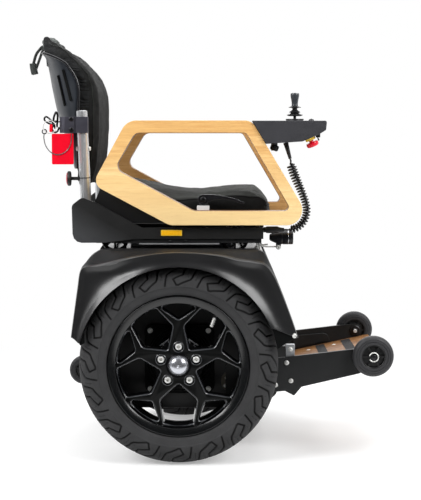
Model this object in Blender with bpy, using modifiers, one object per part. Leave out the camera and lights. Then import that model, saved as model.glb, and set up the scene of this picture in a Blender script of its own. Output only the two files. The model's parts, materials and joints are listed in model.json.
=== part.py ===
"""Self-balancing wheelchair: two driven wheels under a sliding seat, with a footrest on casters.

Metres, +Z up, +X forward, right-hand side at -Y. Sizes below are given from the main axle (x = 0), in a
frame that has the axle at AXLE_HEIGHT. An empty at the root carries everything to the middle of the
footprint, at the height at which the tyres stand on the floor. The seat's heights have the deck at
SEAT_DATUM, and the seat's empty carries them to the deck.
"""
import math

import bmesh
import bpy
from mathutils import Matrix, Vector

# Overall placing
AXLE_TO_MIDDLE = 0.067        # the footprint's middle lies this far ahead of the axle
GAP = 0.0003                  # between pieces that touch
RUNNING_GAP = 0.0005          # between pieces that turn or slide on each other
RIGHT, LEFT = -1, 1
AXLE_HEIGHT = 0.2375
SEAT_DATUM = 0.497

# Width over the chassis, which the wheels, the seat frame and the backrest follow
CHASSIS_HALF_WIDTH = 0.205

# Main wheels
WHEEL_RADIUS = 0.2375
TYRE_WIDTH = 0.122
TYRE_TO_CHASSIS = 0.012
TRACK_HALF = CHASSIS_HALF_WIDTH + TYRE_TO_CHASSIS + TYRE_WIDTH / 2
RIM_FLANGE_RADIUS = 0.168
RIM_HALF_WIDTH = 0.0505
BEAD_RADIUS = 0.1524
SPOKE_FACE = 0.032            # outer face of the spokes, from the wheel's middle plane
SPOKE_THICKNESS = 0.018
SPOKES = 5
BOLT_CIRCLE_RADIUS = 0.044
BOLT_RECESS_RADIUS = 0.012
HUB_CAP_RADIUS = 0.028
WHEEL_STEPS = 32

# Chassis
CHASSIS_WALL = 0.005
COVER_WALL = 0.004
MOTOR_RADIUS = 0.060
GEARBOX_PLATE = 0.0095
TYRE_CLEARANCE = 0.010
FENDER_OUTER = TRACK_HALF + TYRE_WIDTH / 2 + TYRE_CLEARANCE
FENDER_WALL = 0.004
ARCH_CLEARANCE = 0.001
ARCH_RADIUS = WHEEL_RADIUS + ARCH_CLEARANCE
ARCH_TOP = AXLE_HEIGHT + ARCH_RADIUS
DECK_HEIGHT = ARCH_TOP + 0.021   # top of the body cover

# Footrest
FOOT_PLATE_THICKNESS = 0.008
FOOTBOARD_SLOPE = math.radians(12.3)
FOOTBOARD_THICKNESS = 0.015
FOOTBOARD_REAR = (0.300, 0.1931)
FOOTBOARD_LENGTH = 0.210
BOARD_FRONT = (FOOTBOARD_REAR[0] + FOOTBOARD_LENGTH * math.cos(FOOTBOARD_SLOPE),
               FOOTBOARD_REAR[1] + FOOTBOARD_LENGTH * math.sin(FOOTBOARD_SLOPE))
CASTER_CENTRE = (BOARD_FRONT[0] - 0.03518, BOARD_FRONT[1] + 0.008964)
CASTER_RADIUS = 0.050
CASTER_WIDTH = 0.030
CASTER_BOLT_RADIUS = 0.006
REAR_WHEEL_CENTRE = (-0.2365, 0.2049)
REAR_WHEEL_RADIUS = 0.0354
REAR_WHEEL_WIDTH = 0.024
REAR_ARM_INNER = CHASSIS_HALF_WIDTH - 0.045
REAR_ARM_THICKNESS = 0.006

# Seat frame
SIDE_PLATE_INNER = CHASSIS_HALF_WIDTH + 0.019
SIDE_PLATE_THICKNESS = 0.004
SIDE_PLATE_TOP = 0.5586
SIDE_PLATE_FRONT = 0.203
CREASE_LEAN = math.radians(4.0)
TRAY_HEIGHT = (0.5215, 0.5550)
TRAY_WALL = 0.003
CROSS_PLATE_THICKNESS = 0.0037
ROLLER_RADIUS = 0.0345
ROLLER_AXLE_RADIUS = 0.006
ROLLER_INNER, ROLLER_OUTER = CHASSIS_HALF_WIDTH - 0.018, CHASSIS_HALF_WIDTH - 0.0025
ROLLER_REAR_X, ROLLER_FRONT_X = -0.157, 0.135
CROSS_PLATE_REACH = ROLLER_FRONT_X - ROLLER_RADIUS - 0.0035
RAIL_HEIGHT = 0.016           # over the deck
BOARD_THICKNESS = 0.012
BOARD_HALF_WIDTH = CHASSIS_HALF_WIDTH - 0.0215

# Armrests
ARMREST_INNER = SIDE_PLATE_INNER - 0.0175
ARMREST_THICKNESS = 0.0385
ARMREST_TOP = 0.816
ARMREST_BOTTOM = 0.5655
STUD_RADIUS = 0.005

# Backrest
POST_RADIUS = 0.01325
POST_Y = SIDE_PLATE_INNER - 0.00575 - POST_RADIUS
POST_FOOT = (-0.2260, 0.612)
POST_TOP = (-0.2345, 0.8400)
SHELL_HALF_WIDTH = POST_Y - POST_RADIUS - 0.00175
SHELL_WALL = 0.004
CLAMP_HEIGHT = (0.7862, 0.8250)
CLAMP_FRONT = -0.23275 + POST_RADIUS
CLAMP_OUTER = POST_Y + POST_RADIUS + 0.00425

# Cushions
CUSHION_HALF_WIDTH = BOARD_HALF_WIDTH + 0.0005
BACK_CUSHION_HALF_WIDTH = SHELL_HALF_WIDTH - 0.010

# Controls
BOX_TOP = 0.8155
BOX_Y = -ARMREST_INNER - 0.0125
BOX_WIDTH = 0.062
STICK_X = 0.2777
STICK_PIVOT = 0.8165
STICK_WELL_RADIUS = 0.0125
DOME_X = 0.3175
STOP_FACE_POINT = (0.3145, 0.7743)
STOP_TRAVEL = 0.004
CORD_Y = -ARMREST_INNER - 0.015
CORD_OUTER_RADIUS = 0.0100
CORD_WIRE_RADIUS = 0.0019
CORD_TURNS = 27
CORD_POINTS_PER_TURN = 8
LAMP_Y = 0.039 - SIDE_PLATE_INNER
LAMP_Z = 0.5325

for old in list(bpy.data.objects):
    bpy.data.objects.remove(old, do_unlink=True)

parts = bpy.data.collections.new("self_balancing_wheelchair")
cutters = bpy.data.collections.new("cutters")
bpy.context.scene.collection.children.link(parts)
bpy.context.scene.collection.children.link(cutters)

chair = bpy.data.objects.new("chair", None)
chair.location = (-AXLE_TO_MIDDLE, 0, WHEEL_RADIUS - AXLE_HEIGHT)
parts.objects.link(chair)
PLACES = {chair.name: Vector((0, 0, 0))}

# Colour, roughness and metallic value of each finish
FINISHES = {
    "tyre": ((0.045, 0.045, 0.048), 0.85, 0.0),
    "gloss_black": ((0.010, 0.010, 0.012), 0.12, 0.0),
    "satin_black": ((0.022, 0.022, 0.024), 0.38, 0.0),
    "sheet_black": ((0.028, 0.028, 0.030), 0.45, 0.3),
    "cast": ((0.30, 0.30, 0.31), 0.45, 0.9),
    "chrome": ((0.80, 0.80, 0.82), 0.06, 1.0),
    "steel": ((0.62, 0.62, 0.64), 0.22, 1.0),
    "aluminium": ((0.55, 0.55, 0.57), 0.35, 1.0),
    "anodised": ((0.13, 0.125, 0.145), 0.35, 0.8),
    "oak": ((0.80, 0.56, 0.30), 0.42, 0.0),
    "brown_ply": ((0.30, 0.16, 0.07), 0.50, 0.0),
    "fabric": ((0.020, 0.022, 0.021), 0.95, 0.0),
    "webbing": ((0.05, 0.05, 0.055), 0.90, 0.0),
    "grey_rubber": ((0.06, 0.06, 0.065), 0.75, 0.0),
    "red": ((0.75, 0.01, 0.03), 0.35, 0.0),
    "yellow": ((0.85, 0.55, 0.04), 0.40, 0.0),
    "casing": ((0.04, 0.05, 0.09), 0.50, 0.0),
    "light_grey": ((0.70, 0.70, 0.70), 0.45, 0.0),
}


def finish_of(name, finish):
    """Material of one piece."""
    colour, roughness, metallic = FINISHES[finish]
    material = bpy.data.materials.new(name + "_" + finish)
    material.use_nodes = True
    shader = material.node_tree.nodes["Principled BSDF"]
    shader.inputs["Base Color"].default_value = (*colour, 1.0)
    shader.inputs["Roughness"].default_value = roughness
    shader.inputs["Metallic"].default_value = metallic
    return material


def pivot(name, place, carrier=chair, rise=0.0):
    """Empty on a joint's axis, at a place given from the axle. What it carries rises with it."""
    empty = bpy.data.objects.new(name, None)
    PLACES[name] = Vector(place)
    empty.parent = carrier
    empty.location = PLACES[name] - PLACES[carrier.name] + Vector((0, 0, rise))
    parts.objects.link(empty)
    return empty


def add(name, mesh, finish, carrier=chair, place=(0, 0, 0), rotation=(0, 0, 0)):
    """Named piece at a place given from the axle. No finish makes it a cutter."""
    piece = bpy.data.objects.new(name, mesh)
    piece.parent = carrier
    piece.location = Vector(place) - PLACES[carrier.name]
    piece.rotation_euler = rotation
    if finish is None:
        cutters.objects.link(piece)
        piece.hide_render = True
        piece.display_type = "WIRE"
    else:
        parts.objects.link(piece)
        mesh.materials.append(finish_of(name, finish))
    return piece


def cut(piece, cutter, operation="DIFFERENCE"):
    """Takes a cutter out of a piece, or joins it on."""
    boolean = piece.modifiers.new(cutter.name, "BOOLEAN")
    boolean.operation = operation
    boolean.object = cutter
    boolean.solver = "EXACT"


def join(piece, other):
    cut(piece, other, "UNION")


def soften(piece, width, segments=2, angle=40):
    """Rounded edges."""
    bevel = piece.modifiers.new("rounded_edges", "BEVEL")
    bevel.width = width
    bevel.segments = segments
    bevel.limit_method = "ANGLE"
    bevel.angle_limit = math.radians(angle)
    return piece


def smooth(piece, angle=35):
    piece.data.shade_smooth()
    piece.data.set_sharp_from_angle(angle=math.radians(angle))
    return piece


def rounded(corners, steps=4):
    """Outline whose corners (u, v, radius) become arcs."""
    outline = []
    for index, (u, v, radius) in enumerate(corners):
        corner = Vector((u, v))
        if radius == 0:
            outline.append(corner)
            continue
        before = (Vector(corners[index - 1][:2]) - corner).normalized()
        after = (Vector(corners[(index + 1) % len(corners)][:2]) - corner).normalized()
        half = before.angle(after) / 2
        centre = corner + (before + after).normalized() * radius / math.sin(half)
        start = corner + before * radius / math.tan(half) - centre
        end = corner + after * radius / math.tan(half) - centre
        turn = math.atan2(start.cross(end), start.dot(end))
        for step in range(steps + 1):
            outline.append(centre + Matrix.Rotation(turn * step / steps, 2) @ start)
    return outline


def arc(centre, radius, first, last, steps):
    """Points on an arc, with angles in degrees from +u towards +v."""
    angles = [math.radians(first + (last - first) * step / steps) for step in range(steps + 1)]
    return [Vector((centre[0] + radius * math.cos(a), centre[1] + radius * math.sin(a))) for a in angles]


def flat_mesh(name, outlines, thickness):
    """Closed mesh of a flat outline, with holes where an outline lies in another."""
    curve = bpy.data.curves.new(name + "_outline", "CURVE")
    curve.dimensions = "2D"
    curve.fill_mode = "BOTH"
    curve.extrude = thickness / 2
    for outline in outlines:
        spline = curve.splines.new("POLY")
        spline.points.add(len(outline) - 1)
        for point, (u, v) in zip(spline.points, outline):
            point.co = (u, v, 0, 1)
        spline.use_cyclic_u = True
    holder = bpy.data.objects.new(name + "_outline", curve)
    cutters.objects.link(holder)
    mesh = bpy.data.meshes.new_from_object(holder.evaluated_get(bpy.context.evaluated_depsgraph_get()))
    bpy.data.objects.remove(holder, do_unlink=True)
    work = bmesh.new()
    work.from_mesh(mesh)
    bmesh.ops.remove_doubles(work, verts=work.verts, dist=0.00001)
    bmesh.ops.dissolve_limit(work, angle_limit=0.001, verts=work.verts, edges=work.edges)
    bmesh.ops.recalc_face_normals(work, faces=work.faces)
    work.to_mesh(mesh)
    work.free()
    mesh.name = name
    return mesh


def plate(name, outlines, inner, outer, finish, side=RIGHT, carrier=chair):
    """Flat piece standing along the chair: outlines in (x, z), between two distances from the middle."""
    mesh = flat_mesh(name, outlines, abs(outer - inner))
    place = (0, side * (inner + outer) / 2, 0)
    return add(name, mesh, finish, carrier, place, (math.pi / 2, 0, 0))


def block(name, low, high, finish, carrier=chair):
    """Box between two corners."""
    mesh = bpy.data.meshes.new(name)
    work = bmesh.new()
    size = [b - a for a, b in zip(low, high)]
    bmesh.ops.create_cube(work, size=1, matrix=Matrix.Diagonal((*size, 1)))
    work.to_mesh(mesh)
    work.free()
    return add(name, mesh, finish, carrier, [(a + b) / 2 for a, b in zip(low, high)])


def rod(name, start, end, radius, finish, carrier=chair, sides=20, end_radius=None):
    """Round bar or cone between two points."""
    start, end = Vector(start), Vector(end)
    mesh = bpy.data.meshes.new(name)
    work = bmesh.new()
    bmesh.ops.create_cone(work, cap_ends=True, segments=sides, radius1=radius,
                          radius2=radius if end_radius is None else end_radius, depth=(end - start).length)
    work.to_mesh(mesh)
    work.free()
    rotation = (end - start).to_track_quat("Z", "Y").to_euler()
    return smooth(add(name, mesh, finish, carrier, (start + end) / 2, rotation))


def turned(name, profile, axis, place, finish, carrier=chair, steps=24, closed=False):
    """Turned piece: a profile of (radius, height), top to bottom down its outer side, about an axis."""
    mesh = bpy.data.meshes.new(name)
    count = len(profile)
    edges = [(i, i + 1) for i in range(count - 1)] + ([(count - 1, 0)] if closed else [])
    mesh.from_pydata([(radius, 0, height) for radius, height in profile], edges, [])
    rotation = Vector(axis).to_track_quat("Z", "Y").to_euler()
    piece = add(name, mesh, finish, carrier, place, rotation)
    screw = piece.modifiers.new("turning", "SCREW")
    screw.steps = screw.render_steps = steps
    screw.use_merge_vertices = True
    screw.merge_threshold = 0.00001
    return piece


def tube(name, points, radius, finish, carrier=chair, resolution=2, cyclic=False):
    """Round tube along points, as a mesh."""
    curve = bpy.data.curves.new(name + "_line", "CURVE")
    curve.dimensions = "3D"
    curve.bevel_depth = radius
    curve.bevel_resolution = resolution
    curve.use_fill_caps = True
    spline = curve.splines.new("POLY")
    spline.points.add(len(points) - 1)
    for point, co in zip(spline.points, points):
        point.co = (*co, 1)
    spline.use_cyclic_u = cyclic
    holder = bpy.data.objects.new(name + "_line", curve)
    cutters.objects.link(holder)
    mesh = bpy.data.meshes.new_from_object(holder.evaluated_get(bpy.context.evaluated_depsgraph_get()))
    bpy.data.objects.remove(holder, do_unlink=True)
    work = bmesh.new()
    work.from_mesh(mesh)
    bmesh.ops.remove_doubles(work, verts=work.verts, dist=0.00001)
    bmesh.ops.recalc_face_normals(work, faces=work.faces)
    work.to_mesh(mesh)
    work.free()
    mesh.name = name
    return smooth(add(name, mesh, finish, carrier))


def blend_through(points, samples):
    """Smooth curve through points, evenly spaced along its length."""
    line = []
    for i in range(len(points) - 1):
        before = points[max(i - 1, 0)]
        after = points[min(i + 2, len(points) - 1)]
        for step in range(24):
            t = step / 24
            line.append(0.5 * ((2 * points[i]) + (points[i + 1] - before) * t
                               + (2 * before - 5 * points[i] + 4 * points[i + 1] - after) * t * t
                               + (3 * points[i] - before - 3 * points[i + 1] + after) * t ** 3))
    line.append(points[-1])
    lengths = [0.0]
    for a, b in zip(line, line[1:]):
        lengths.append(lengths[-1] + (b - a).length)
    result = []
    segment = 0
    for sample in range(samples + 1):
        target = lengths[-1] * sample / samples
        while segment < len(line) - 2 and lengths[segment + 1] < target:
            segment += 1
        span = lengths[segment + 1] - lengths[segment]
        result.append(line[segment].lerp(line[segment + 1], (target - lengths[segment]) / span))
    return result


def interpolate(table, value):
    """Value read between the rows of a short table that rises in its first column."""
    if value <= table[0][0]:
        return table[0][1]
    for (a, p), (b, q) in zip(table, table[1:]):
        if value <= b:
            return p + (q - p) * (value - a) / (b - a)
    return table[-1][1]


def polar(radius, degrees, middle):
    """Point in a wheel's face, with the angle measured from the top, about a middle direction."""
    angle = math.radians(90 - middle - degrees)
    return radius * math.cos(angle), radius * math.sin(angle)


# Main wheels

def tyre(side, carrier):
    r, half_width = WHEEL_RADIUS, TYRE_WIDTH / 2
    outer = [(r - 0.0035, half_width - 0.031), (r - 0.0145, half_width - 0.010), (r - 0.0345, half_width),
             (RIM_FLANGE_RADIUS + 0.0020, 0.0530)]
    bead = [(RIM_FLANGE_RADIUS + 0.0010, 0.0452), (0.1530, 0.0452), (0.1530, 0.0340)]
    inner = [(r - 0.0345, half_width - 0.009), (r - 0.0175, half_width - 0.021)]
    half = [(r, 0.0110)] + outer + bead + inner
    down = [(r, -h) for r, h in half]
    profile = list(reversed(down)) + half
    profile.reverse()
    name = "tyre_" + ("R" if side == RIGHT else "L")
    place = (0, side * TRACK_HALF, AXLE_HEIGHT)
    return turned(name, profile, (0, side, 0), place, "tyre", carrier, WHEEL_STEPS, closed=True)


def rim(side, carrier):
    name = "rim_" + ("R" if side == RIGHT else "L")
    place = (0, side * TRACK_HALF, AXLE_HEIGHT)
    w = RIM_HALF_WIDTH
    flange = [(RIM_FLANGE_RADIUS, w), (RIM_FLANGE_RADIUS, w - 0.005), (BEAD_RADIUS, w - 0.005)]
    drop = [(BEAD_RADIUS, 0.012), (0.1430, 0.004), (0.1430, -0.020), (BEAD_RADIUS, -0.028)]
    inside = [(0.1590, -w), (0.1365, -0.018), (0.1365, 0.002), (0.1455, 0.011), (0.1455, 0.036), (0.1590, w)]
    profile = flange + drop + [(r, -h) for r, h in reversed(flange)] + inside
    barrel = turned(name, profile, (0, side, 0), place, "gloss_black", carrier, WHEEL_STEPS, closed=True)

    windows = []
    for index in range(SPOKES):
        gap_middle = 360 / SPOKES * (index + 0.5)
        corners = [(*polar(0.042, 0, gap_middle), 0.008), (*polar(0.094, -30, gap_middle), 0.008),
                   (*polar(0.1405, -17, gap_middle), 0), (*polar(0.1430, 0, gap_middle), 0),
                   (*polar(0.1405, 17, gap_middle), 0), (*polar(0.094, 30, gap_middle), 0.008)]
        windows.append(rounded(corners, 2))
        spoke_middle = 360 / SPOKES * index
        corners = [(*polar(0.113, 0, spoke_middle), 0.003), (*polar(0.1410, -13, spoke_middle), 0),
                   (*polar(0.1410, 13, spoke_middle), 0)]
        windows.append(rounded(corners, 2))
    disc = arc((0, 0), 0.1490, 0, 360 - 360 / WHEEL_STEPS, WHEEL_STEPS - 1)
    face = flat_mesh(name + "_spokes", [disc] + windows, SPOKE_THICKNESS)
    turn = Vector((0, side, 0)).to_track_quat("Z", "Y").to_euler()
    middle = side * (TRACK_HALF + SPOKE_FACE - SPOKE_THICKNESS / 2)
    join(barrel, add(name + "_spokes", face, None, carrier, (0, middle, AXLE_HEIGHT), turn))
    for index in range(SPOKES):
        u, v = polar(BOLT_CIRCLE_RADIUS, 0, 360 / SPOKES * index)
        x, z = u, AXLE_HEIGHT + v
        outer_face = side * (TRACK_HALF + SPOKE_FACE)
        recess = rod(name + "_recess_" + str(index), (x, outer_face - side * 0.006, z),
                     (x, outer_face + side * 0.004, z), BOLT_RECESS_RADIUS, None, carrier, 8)
        cut(barrel, recess)
    return barrel


def hub_cap(side, carrier):
    name = "hub_cap_" + ("R" if side == RIGHT else "L")
    place = (0, side * (TRACK_HALF + SPOKE_FACE + GAP), AXLE_HEIGHT)
    dome_radius = 0.023
    dome = [(dome_radius * math.cos(math.radians(a)), 0.004 + 0.013 * math.sin(math.radians(a)))
            for a in (90, 64, 38, 14)]
    profile = [(0, 0.017)] + dome[1:] + [(0.0235, 0.0045), (HUB_CAP_RADIUS, 0.003), (HUB_CAP_RADIUS, 0),
                                         (0, 0)]
    return smooth(turned(name, profile, (0, side, 0), place, "chrome", carrier, 18))


def main_wheel(side):
    letter = "R" if side == RIGHT else "L"
    axle = pivot("wheel_axle_" + letter, (0, side * TRACK_HALF, AXLE_HEIGHT))
    tyre(side, axle)
    rim(side, axle)
    hub_cap(side, axle)


# Chassis

COVER_OUTLINE = [(0.0095 - ARCH_RADIUS, 0.3000), (0.0130 - ARCH_RADIUS, ARCH_TOP - 0.0160),
                 (0.0485 - ARCH_RADIUS, DECK_HEIGHT), (ARCH_RADIUS - 0.0435, DECK_HEIGHT),
                 (ARCH_RADIUS - 0.0295, DECK_HEIGHT - 0.0120), (ARCH_RADIUS + 0.0055, ARCH_TOP - 0.0760),
                 (ARCH_RADIUS + 0.0255, 0.3400)]


def body_cover():
    """Bent cover over the chassis: an open sheet along the outline, given its wall."""
    mesh = bpy.data.meshes.new("body_cover")
    half = CHASSIS_HALF_WIDTH
    vertices = []
    for x, z in COVER_OUTLINE:
        vertices += [(x, -half, z), (x, half, z)]
    faces = [(2 * i, 2 * i + 1, 2 * i + 3, 2 * i + 2) for i in range(len(COVER_OUTLINE) - 1)]
    mesh.from_pydata(vertices, [], faces)
    piece = add("body_cover", mesh, "satin_black")
    wall = piece.modifiers.new("wall", "SOLIDIFY")
    wall.thickness = COVER_WALL
    wall.offset = -1 if mesh.polygons[2].normal.z > 0 else 1
    wall.use_even_offset = True
    return piece


def chassis_tub():
    top = DECK_HEIGHT - COVER_WALL - GAP
    corners = [(-0.184, top, 0), (0.186, top, 0), (0.232, 0.372, 0.01), (0.238, 0.150, 0.012),
               (0.200, 0.115, 0.02), (-0.150, 0.115, 0.02), (-0.188, 0.155, 0.02)]
    tub = plate("chassis_tub", [rounded(corners, 2)], -CHASSIS_HALF_WIDTH, CHASSIS_HALF_WIDTH, "satin_black")
    w = CHASSIS_WALL
    hollow = [(-0.184 + w, top + 0.01, 0), (0.181, top + 0.01, 0), (0.181, top - 0.01, 0),
              (0.2265, 0.3710, 0.008),
              (0.2325, 0.1525, 0.008), (0.198, 0.120, 0.016), (-0.148, 0.120, 0.016), (-0.182, 0.157, 0.016)]
    inside = plate("tub_hollow", [rounded(hollow, 2)], w - CHASSIS_HALF_WIDTH, CHASSIS_HALF_WIDTH - w, None)
    cut(tub, inside)
    return tub


def drive(side):
    letter = "R" if side == RIGHT else "L"
    inside = CHASSIS_HALF_WIDTH - CHASSIS_WALL - GAP
    smooth(soften(rod("motor_" + letter, (0, side * 0.020, AXLE_HEIGHT), (0, side * inside, AXLE_HEIGHT),
                      MOTOR_RADIUS, "cast"), 0.003, 1))
    outside = CHASSIS_HALF_WIDTH + GAP
    half = 0.085
    corners = [(-half, AXLE_HEIGHT - half, 0.02), (half, AXLE_HEIGHT - half, 0.02),
               (half, AXLE_HEIGHT + half, 0.02), (-half, AXLE_HEIGHT + half, 0.02)]
    gearbox = plate("gearbox_" + letter, [rounded(corners, 3)], outside, outside + GEARBOX_PLATE,
                    "sheet_black", side)
    hub_back = TRACK_HALF + SPOKE_FACE - SPOKE_THICKNESS - RUNNING_GAP
    face = CHASSIS_HALF_WIDTH
    nose = [(0, hub_back), (0.036, hub_back), (0.040, hub_back - 0.004), (0.040, face + 0.057),
            (0.056, face + 0.051),
            (0.062, face + 0.039), (0.062, face + 0.004), (0, face + 0.004)]
    join(gearbox, turned("gearbox_nose_" + letter, nose, (0, side, 0), (0, 0, AXLE_HEIGHT), None, steps=20))
    return gearbox


def fender_outline():
    """Outline round the wheel arch: rear tip, top, then the front tip and the way back under the arch."""
    rear, front = -ARCH_RADIUS, ARCH_RADIUS
    arch_front = math.sqrt(ARCH_RADIUS ** 2 - (0.3325 - AXLE_HEIGHT) ** 2)
    top = DECK_HEIGHT + 0.012
    return [(rear + 0.0085, 0.2950, 0), (rear - 0.0106, 0.3081, 0.003), (rear + 0.0130, ARCH_TOP - 0.0090,
                                                                         0.015),
            (rear + 0.0522, top, 0.012), (front - 0.0435, top, 0.012), (front - 0.0285, top - 0.0190, 0.012),
            (front + 0.0048, ARCH_TOP - 0.0667, 0.02), (front + 0.0414, 0.3062, 0.003),
            (arch_front + 0.002637, 0.3325, 0),
            (0.0, 0.2950, 0)]


def shrunk(outline, wall, drop):
    """Outline moved in by a wall on its upper sides, and down past its lower end."""
    middle = Vector((0.015, 0.30))
    moved = []
    for u, v in outline:
        reach = Vector((u, v)) - middle
        low = v < 0.34
        scale_u = 1 - wall / abs(reach.x) if abs(reach.x) > wall else 1
        moved.append(Vector((middle.x + reach.x * scale_u, v - drop if low else v - wall)))
    return moved


def fender(side):
    """Shell over a wheel: side wall with its arch, and a top, front and rear wall to the body cover."""
    name = "fender_" + ("R" if side == RIGHT else "L")
    outline = rounded(fender_outline(), 3)
    inner = CHASSIS_HALF_WIDTH + GAP
    shell = plate(name, [outline], inner, FENDER_OUTER, "satin_black", side)
    soften(shell, 0.008, 1, 60)
    hollow = shrunk(outline, FENDER_WALL, 0.05)
    cut(shell, plate(name + "_hollow", [hollow], inner - 0.01, FENDER_OUTER - FENDER_WALL - 0.001, None,
                     side))
    arch = rod(name + "_arch", (0, side * (inner - 0.01), AXLE_HEIGHT), (0, side * (FENDER_OUTER + 0.01),
                                                                         AXLE_HEIGHT),
               ARCH_RADIUS, None, sides=52)
    cut(shell, arch)
    return shell


def guide_rail():
    """T-rail on the deck, under the seat's shoe."""
    low, top = DECK_HEIGHT + GAP, DECK_HEIGHT + RAIL_HEIGHT
    outline = [(-0.024, low), (0.024, low), (0.024, low + 0.003), (0.008, low + 0.003), (0.008, top - 0.005),
               (0.020, top - 0.005), (0.020, top), (-0.020, top), (-0.020, top - 0.005),
               (-0.008, top - 0.005), (-0.008, low + 0.003), (-0.024, low + 0.003)]
    mesh = flat_mesh("guide_rail", [outline], 0.260)
    return add("guide_rail", mesh, "steel", chair, (0, 0, 0), (math.pi / 2, 0, math.pi / 2))


def battery_pack():
    low = AXLE_HEIGHT + MOTOR_RADIUS + GAP
    half = CHASSIS_HALF_WIDTH - 0.040
    return soften(block("battery_pack", (-0.120, -half, low), (0.195, half, DECK_HEIGHT - 0.055), "casing"),
                  0.004, 1)


# Footrest

def board_top(x):
    """Height of the footboard's upper face."""
    return FOOTBOARD_REAR[1] + (x - FOOTBOARD_REAR[0]) * math.tan(FOOTBOARD_SLOPE)


def foot_plate(side):
    """Side plate of the footrest, with the caster's bolt and the flange under the footboard."""
    letter = "R" if side == RIGHT else "L"
    name = "foot_plate_" + letter
    cx, cz = CASTER_CENTRE
    inner = CHASSIS_HALF_WIDTH + GAP
    outer = inner + FOOT_PLATE_THICKNESS
    lower = [(0.112, 0.128, 0.01), (0.2306, 0.1553, 0), (0.2569, 0.1580, 0), (0.2796, 0.1461, 0.003),
             (0.2981, 0.1682, 0), (cx - 0.0278, cz - 0.0450, 0.01), (cx - 0.0210, cz - 0.0328, 0)]
    lug = [(point.x, point.y, 0) for point in arc((cx, cz), 0.018, -60, 95, 6)]
    outline = rounded(lower + lug + [(cx - 0.0471, cz + 0.0141, 0.01), (0.112, 0.224, 0.01)], 2)
    piece = plate(name, [outline], inner, outer, "sheet_black", side)

    length = FOOTBOARD_LENGTH - 0.060
    start = FOOTBOARD_REAR[0] + 0.004
    middle_x = start + length / 2 * math.cos(FOOTBOARD_SLOPE)
    depth = FOOTBOARD_THICKNESS + GAP + 0.002
    middle_z = board_top(middle_x) - depth / math.cos(FOOTBOARD_SLOPE)
    flange = block(name + "_flange", (-length / 2, -0.012, -0.002), (length / 2, 0.012, 0.002), None)
    flange.location = (middle_x, side * (inner - 0.008), middle_z)
    flange.rotation_euler = (0, -FOOTBOARD_SLOPE, 0)
    join(piece, flange)
    bolt_end = side * (outer + 0.003 + CASTER_WIDTH + 0.004)
    join(piece, rod(name + "_bolt", (cx, side * (inner + 0.004), cz), (cx, bolt_end, cz),
                    CASTER_BOLT_RADIUS, None,
                    sides=16))
    join(piece, rod(name + "_washer", (cx, side * (outer - 0.001), cz), (cx, side * (outer + 0.0025), cz),
                    0.010,
                    None, sides=16))
    return piece


def caster(side):
    """Small wheel on the footrest: tread, ribbed web and hub, on the plate's bolt."""
    letter = "R" if side == RIGHT else "L"
    cx, cz = CASTER_CENTRE
    middle = CHASSIS_HALF_WIDTH + GAP + FOOT_PLATE_THICKNESS + 0.003 + CASTER_WIDTH / 2
    axle = pivot("caster_axle_" + letter, (cx, side * middle, cz))
    half = CASTER_WIDTH / 2
    bore = CASTER_BOLT_RADIUS + GAP
    profile = [(bore, half), (0.014, half), (0.016, half - 0.006), (0.026, half - 0.006),
               (0.029, half - 0.001),
               (CASTER_RADIUS - 0.006, half - 0.001), (CASTER_RADIUS, half - 0.009),
               (CASTER_RADIUS, 0.009 - half),
               (CASTER_RADIUS - 0.006, 0.001 - half), (0.029, 0.001 - half), (0.026, 0.006 - half),
               (0.016, 0.006 - half), (0.014, -half), (bore, -half)]
    return smooth(turned("caster_wheel_" + letter, profile, (0, side, 0), (cx, side * middle, cz),
                         "grey_rubber",
                         axle, 16, closed=True))


def footboard():
    length = FOOTBOARD_LENGTH
    half = CHASSIS_HALF_WIDTH - GAP
    board = block("footboard", (-length / 2, -half, -FOOTBOARD_THICKNESS / 2),
                  (length / 2, half, FOOTBOARD_THICKNESS / 2), "brown_ply")
    along = length / 2
    x = FOOTBOARD_REAR[0] + along * math.cos(FOOTBOARD_SLOPE)
    z = FOOTBOARD_REAR[1] + along * math.sin(FOOTBOARD_SLOPE)
    drop = FOOTBOARD_THICKNESS / 2
    board.location = (x + drop * math.sin(FOOTBOARD_SLOPE), 0, z - drop * math.cos(FOOTBOARD_SLOPE))
    board.rotation_euler = (0, -FOOTBOARD_SLOPE, 0)
    return soften(board, 0.0012, 1)


def rear_arm(side):
    """Arm from the tub's rear wall to an anti-tip wheel, with the wheel's pin."""
    letter = "R" if side == RIGHT else "L"
    name = "rear_arm_" + letter
    cx, cz = REAR_WHEEL_CENTRE
    inner, outer = REAR_ARM_INNER, REAR_ARM_INNER + REAR_ARM_THICKNESS
    outline = arc((cx, cz), 0.013, 100, 260, 5) + [Vector((-0.1885, 0.178)), Vector((-0.1885, 0.240))]
    piece = plate(name, [outline], inner, outer, "sheet_black", side)
    pin_end = side * (outer + 0.002 + REAR_WHEEL_WIDTH + 0.003)
    join(piece, rod(name + "_pin", (cx, side * (inner + 0.003), cz), (cx, pin_end, cz), 0.005, None,
                    sides=12))
    return piece


def rear_wheel(side):
    letter = "R" if side == RIGHT else "L"
    cx, cz = REAR_WHEEL_CENTRE
    half = REAR_WHEEL_WIDTH / 2
    middle = REAR_ARM_INNER + REAR_ARM_THICKNESS + 0.0005 + half
    axle = pivot("rear_wheel_axle_" + letter, (cx, side * middle, cz))
    bore = 0.005 + GAP
    r = REAR_WHEEL_RADIUS
    profile = [(bore, half), (0.010, half), (0.018, half - 0.004), (0.021, half - 0.001),
               (r - 0.004, half - 0.001),
               (r, half - 0.006), (r, 0.006 - half), (r - 0.004, 0.001 - half), (0.010, -half), (bore, -half)]
    return smooth(turned("rear_wheel_" + letter, profile, (0, side, 0), (cx, side * middle, cz),
                         "grey_rubber",
                         axle, 16, closed=True))


# Seat frame

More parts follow.
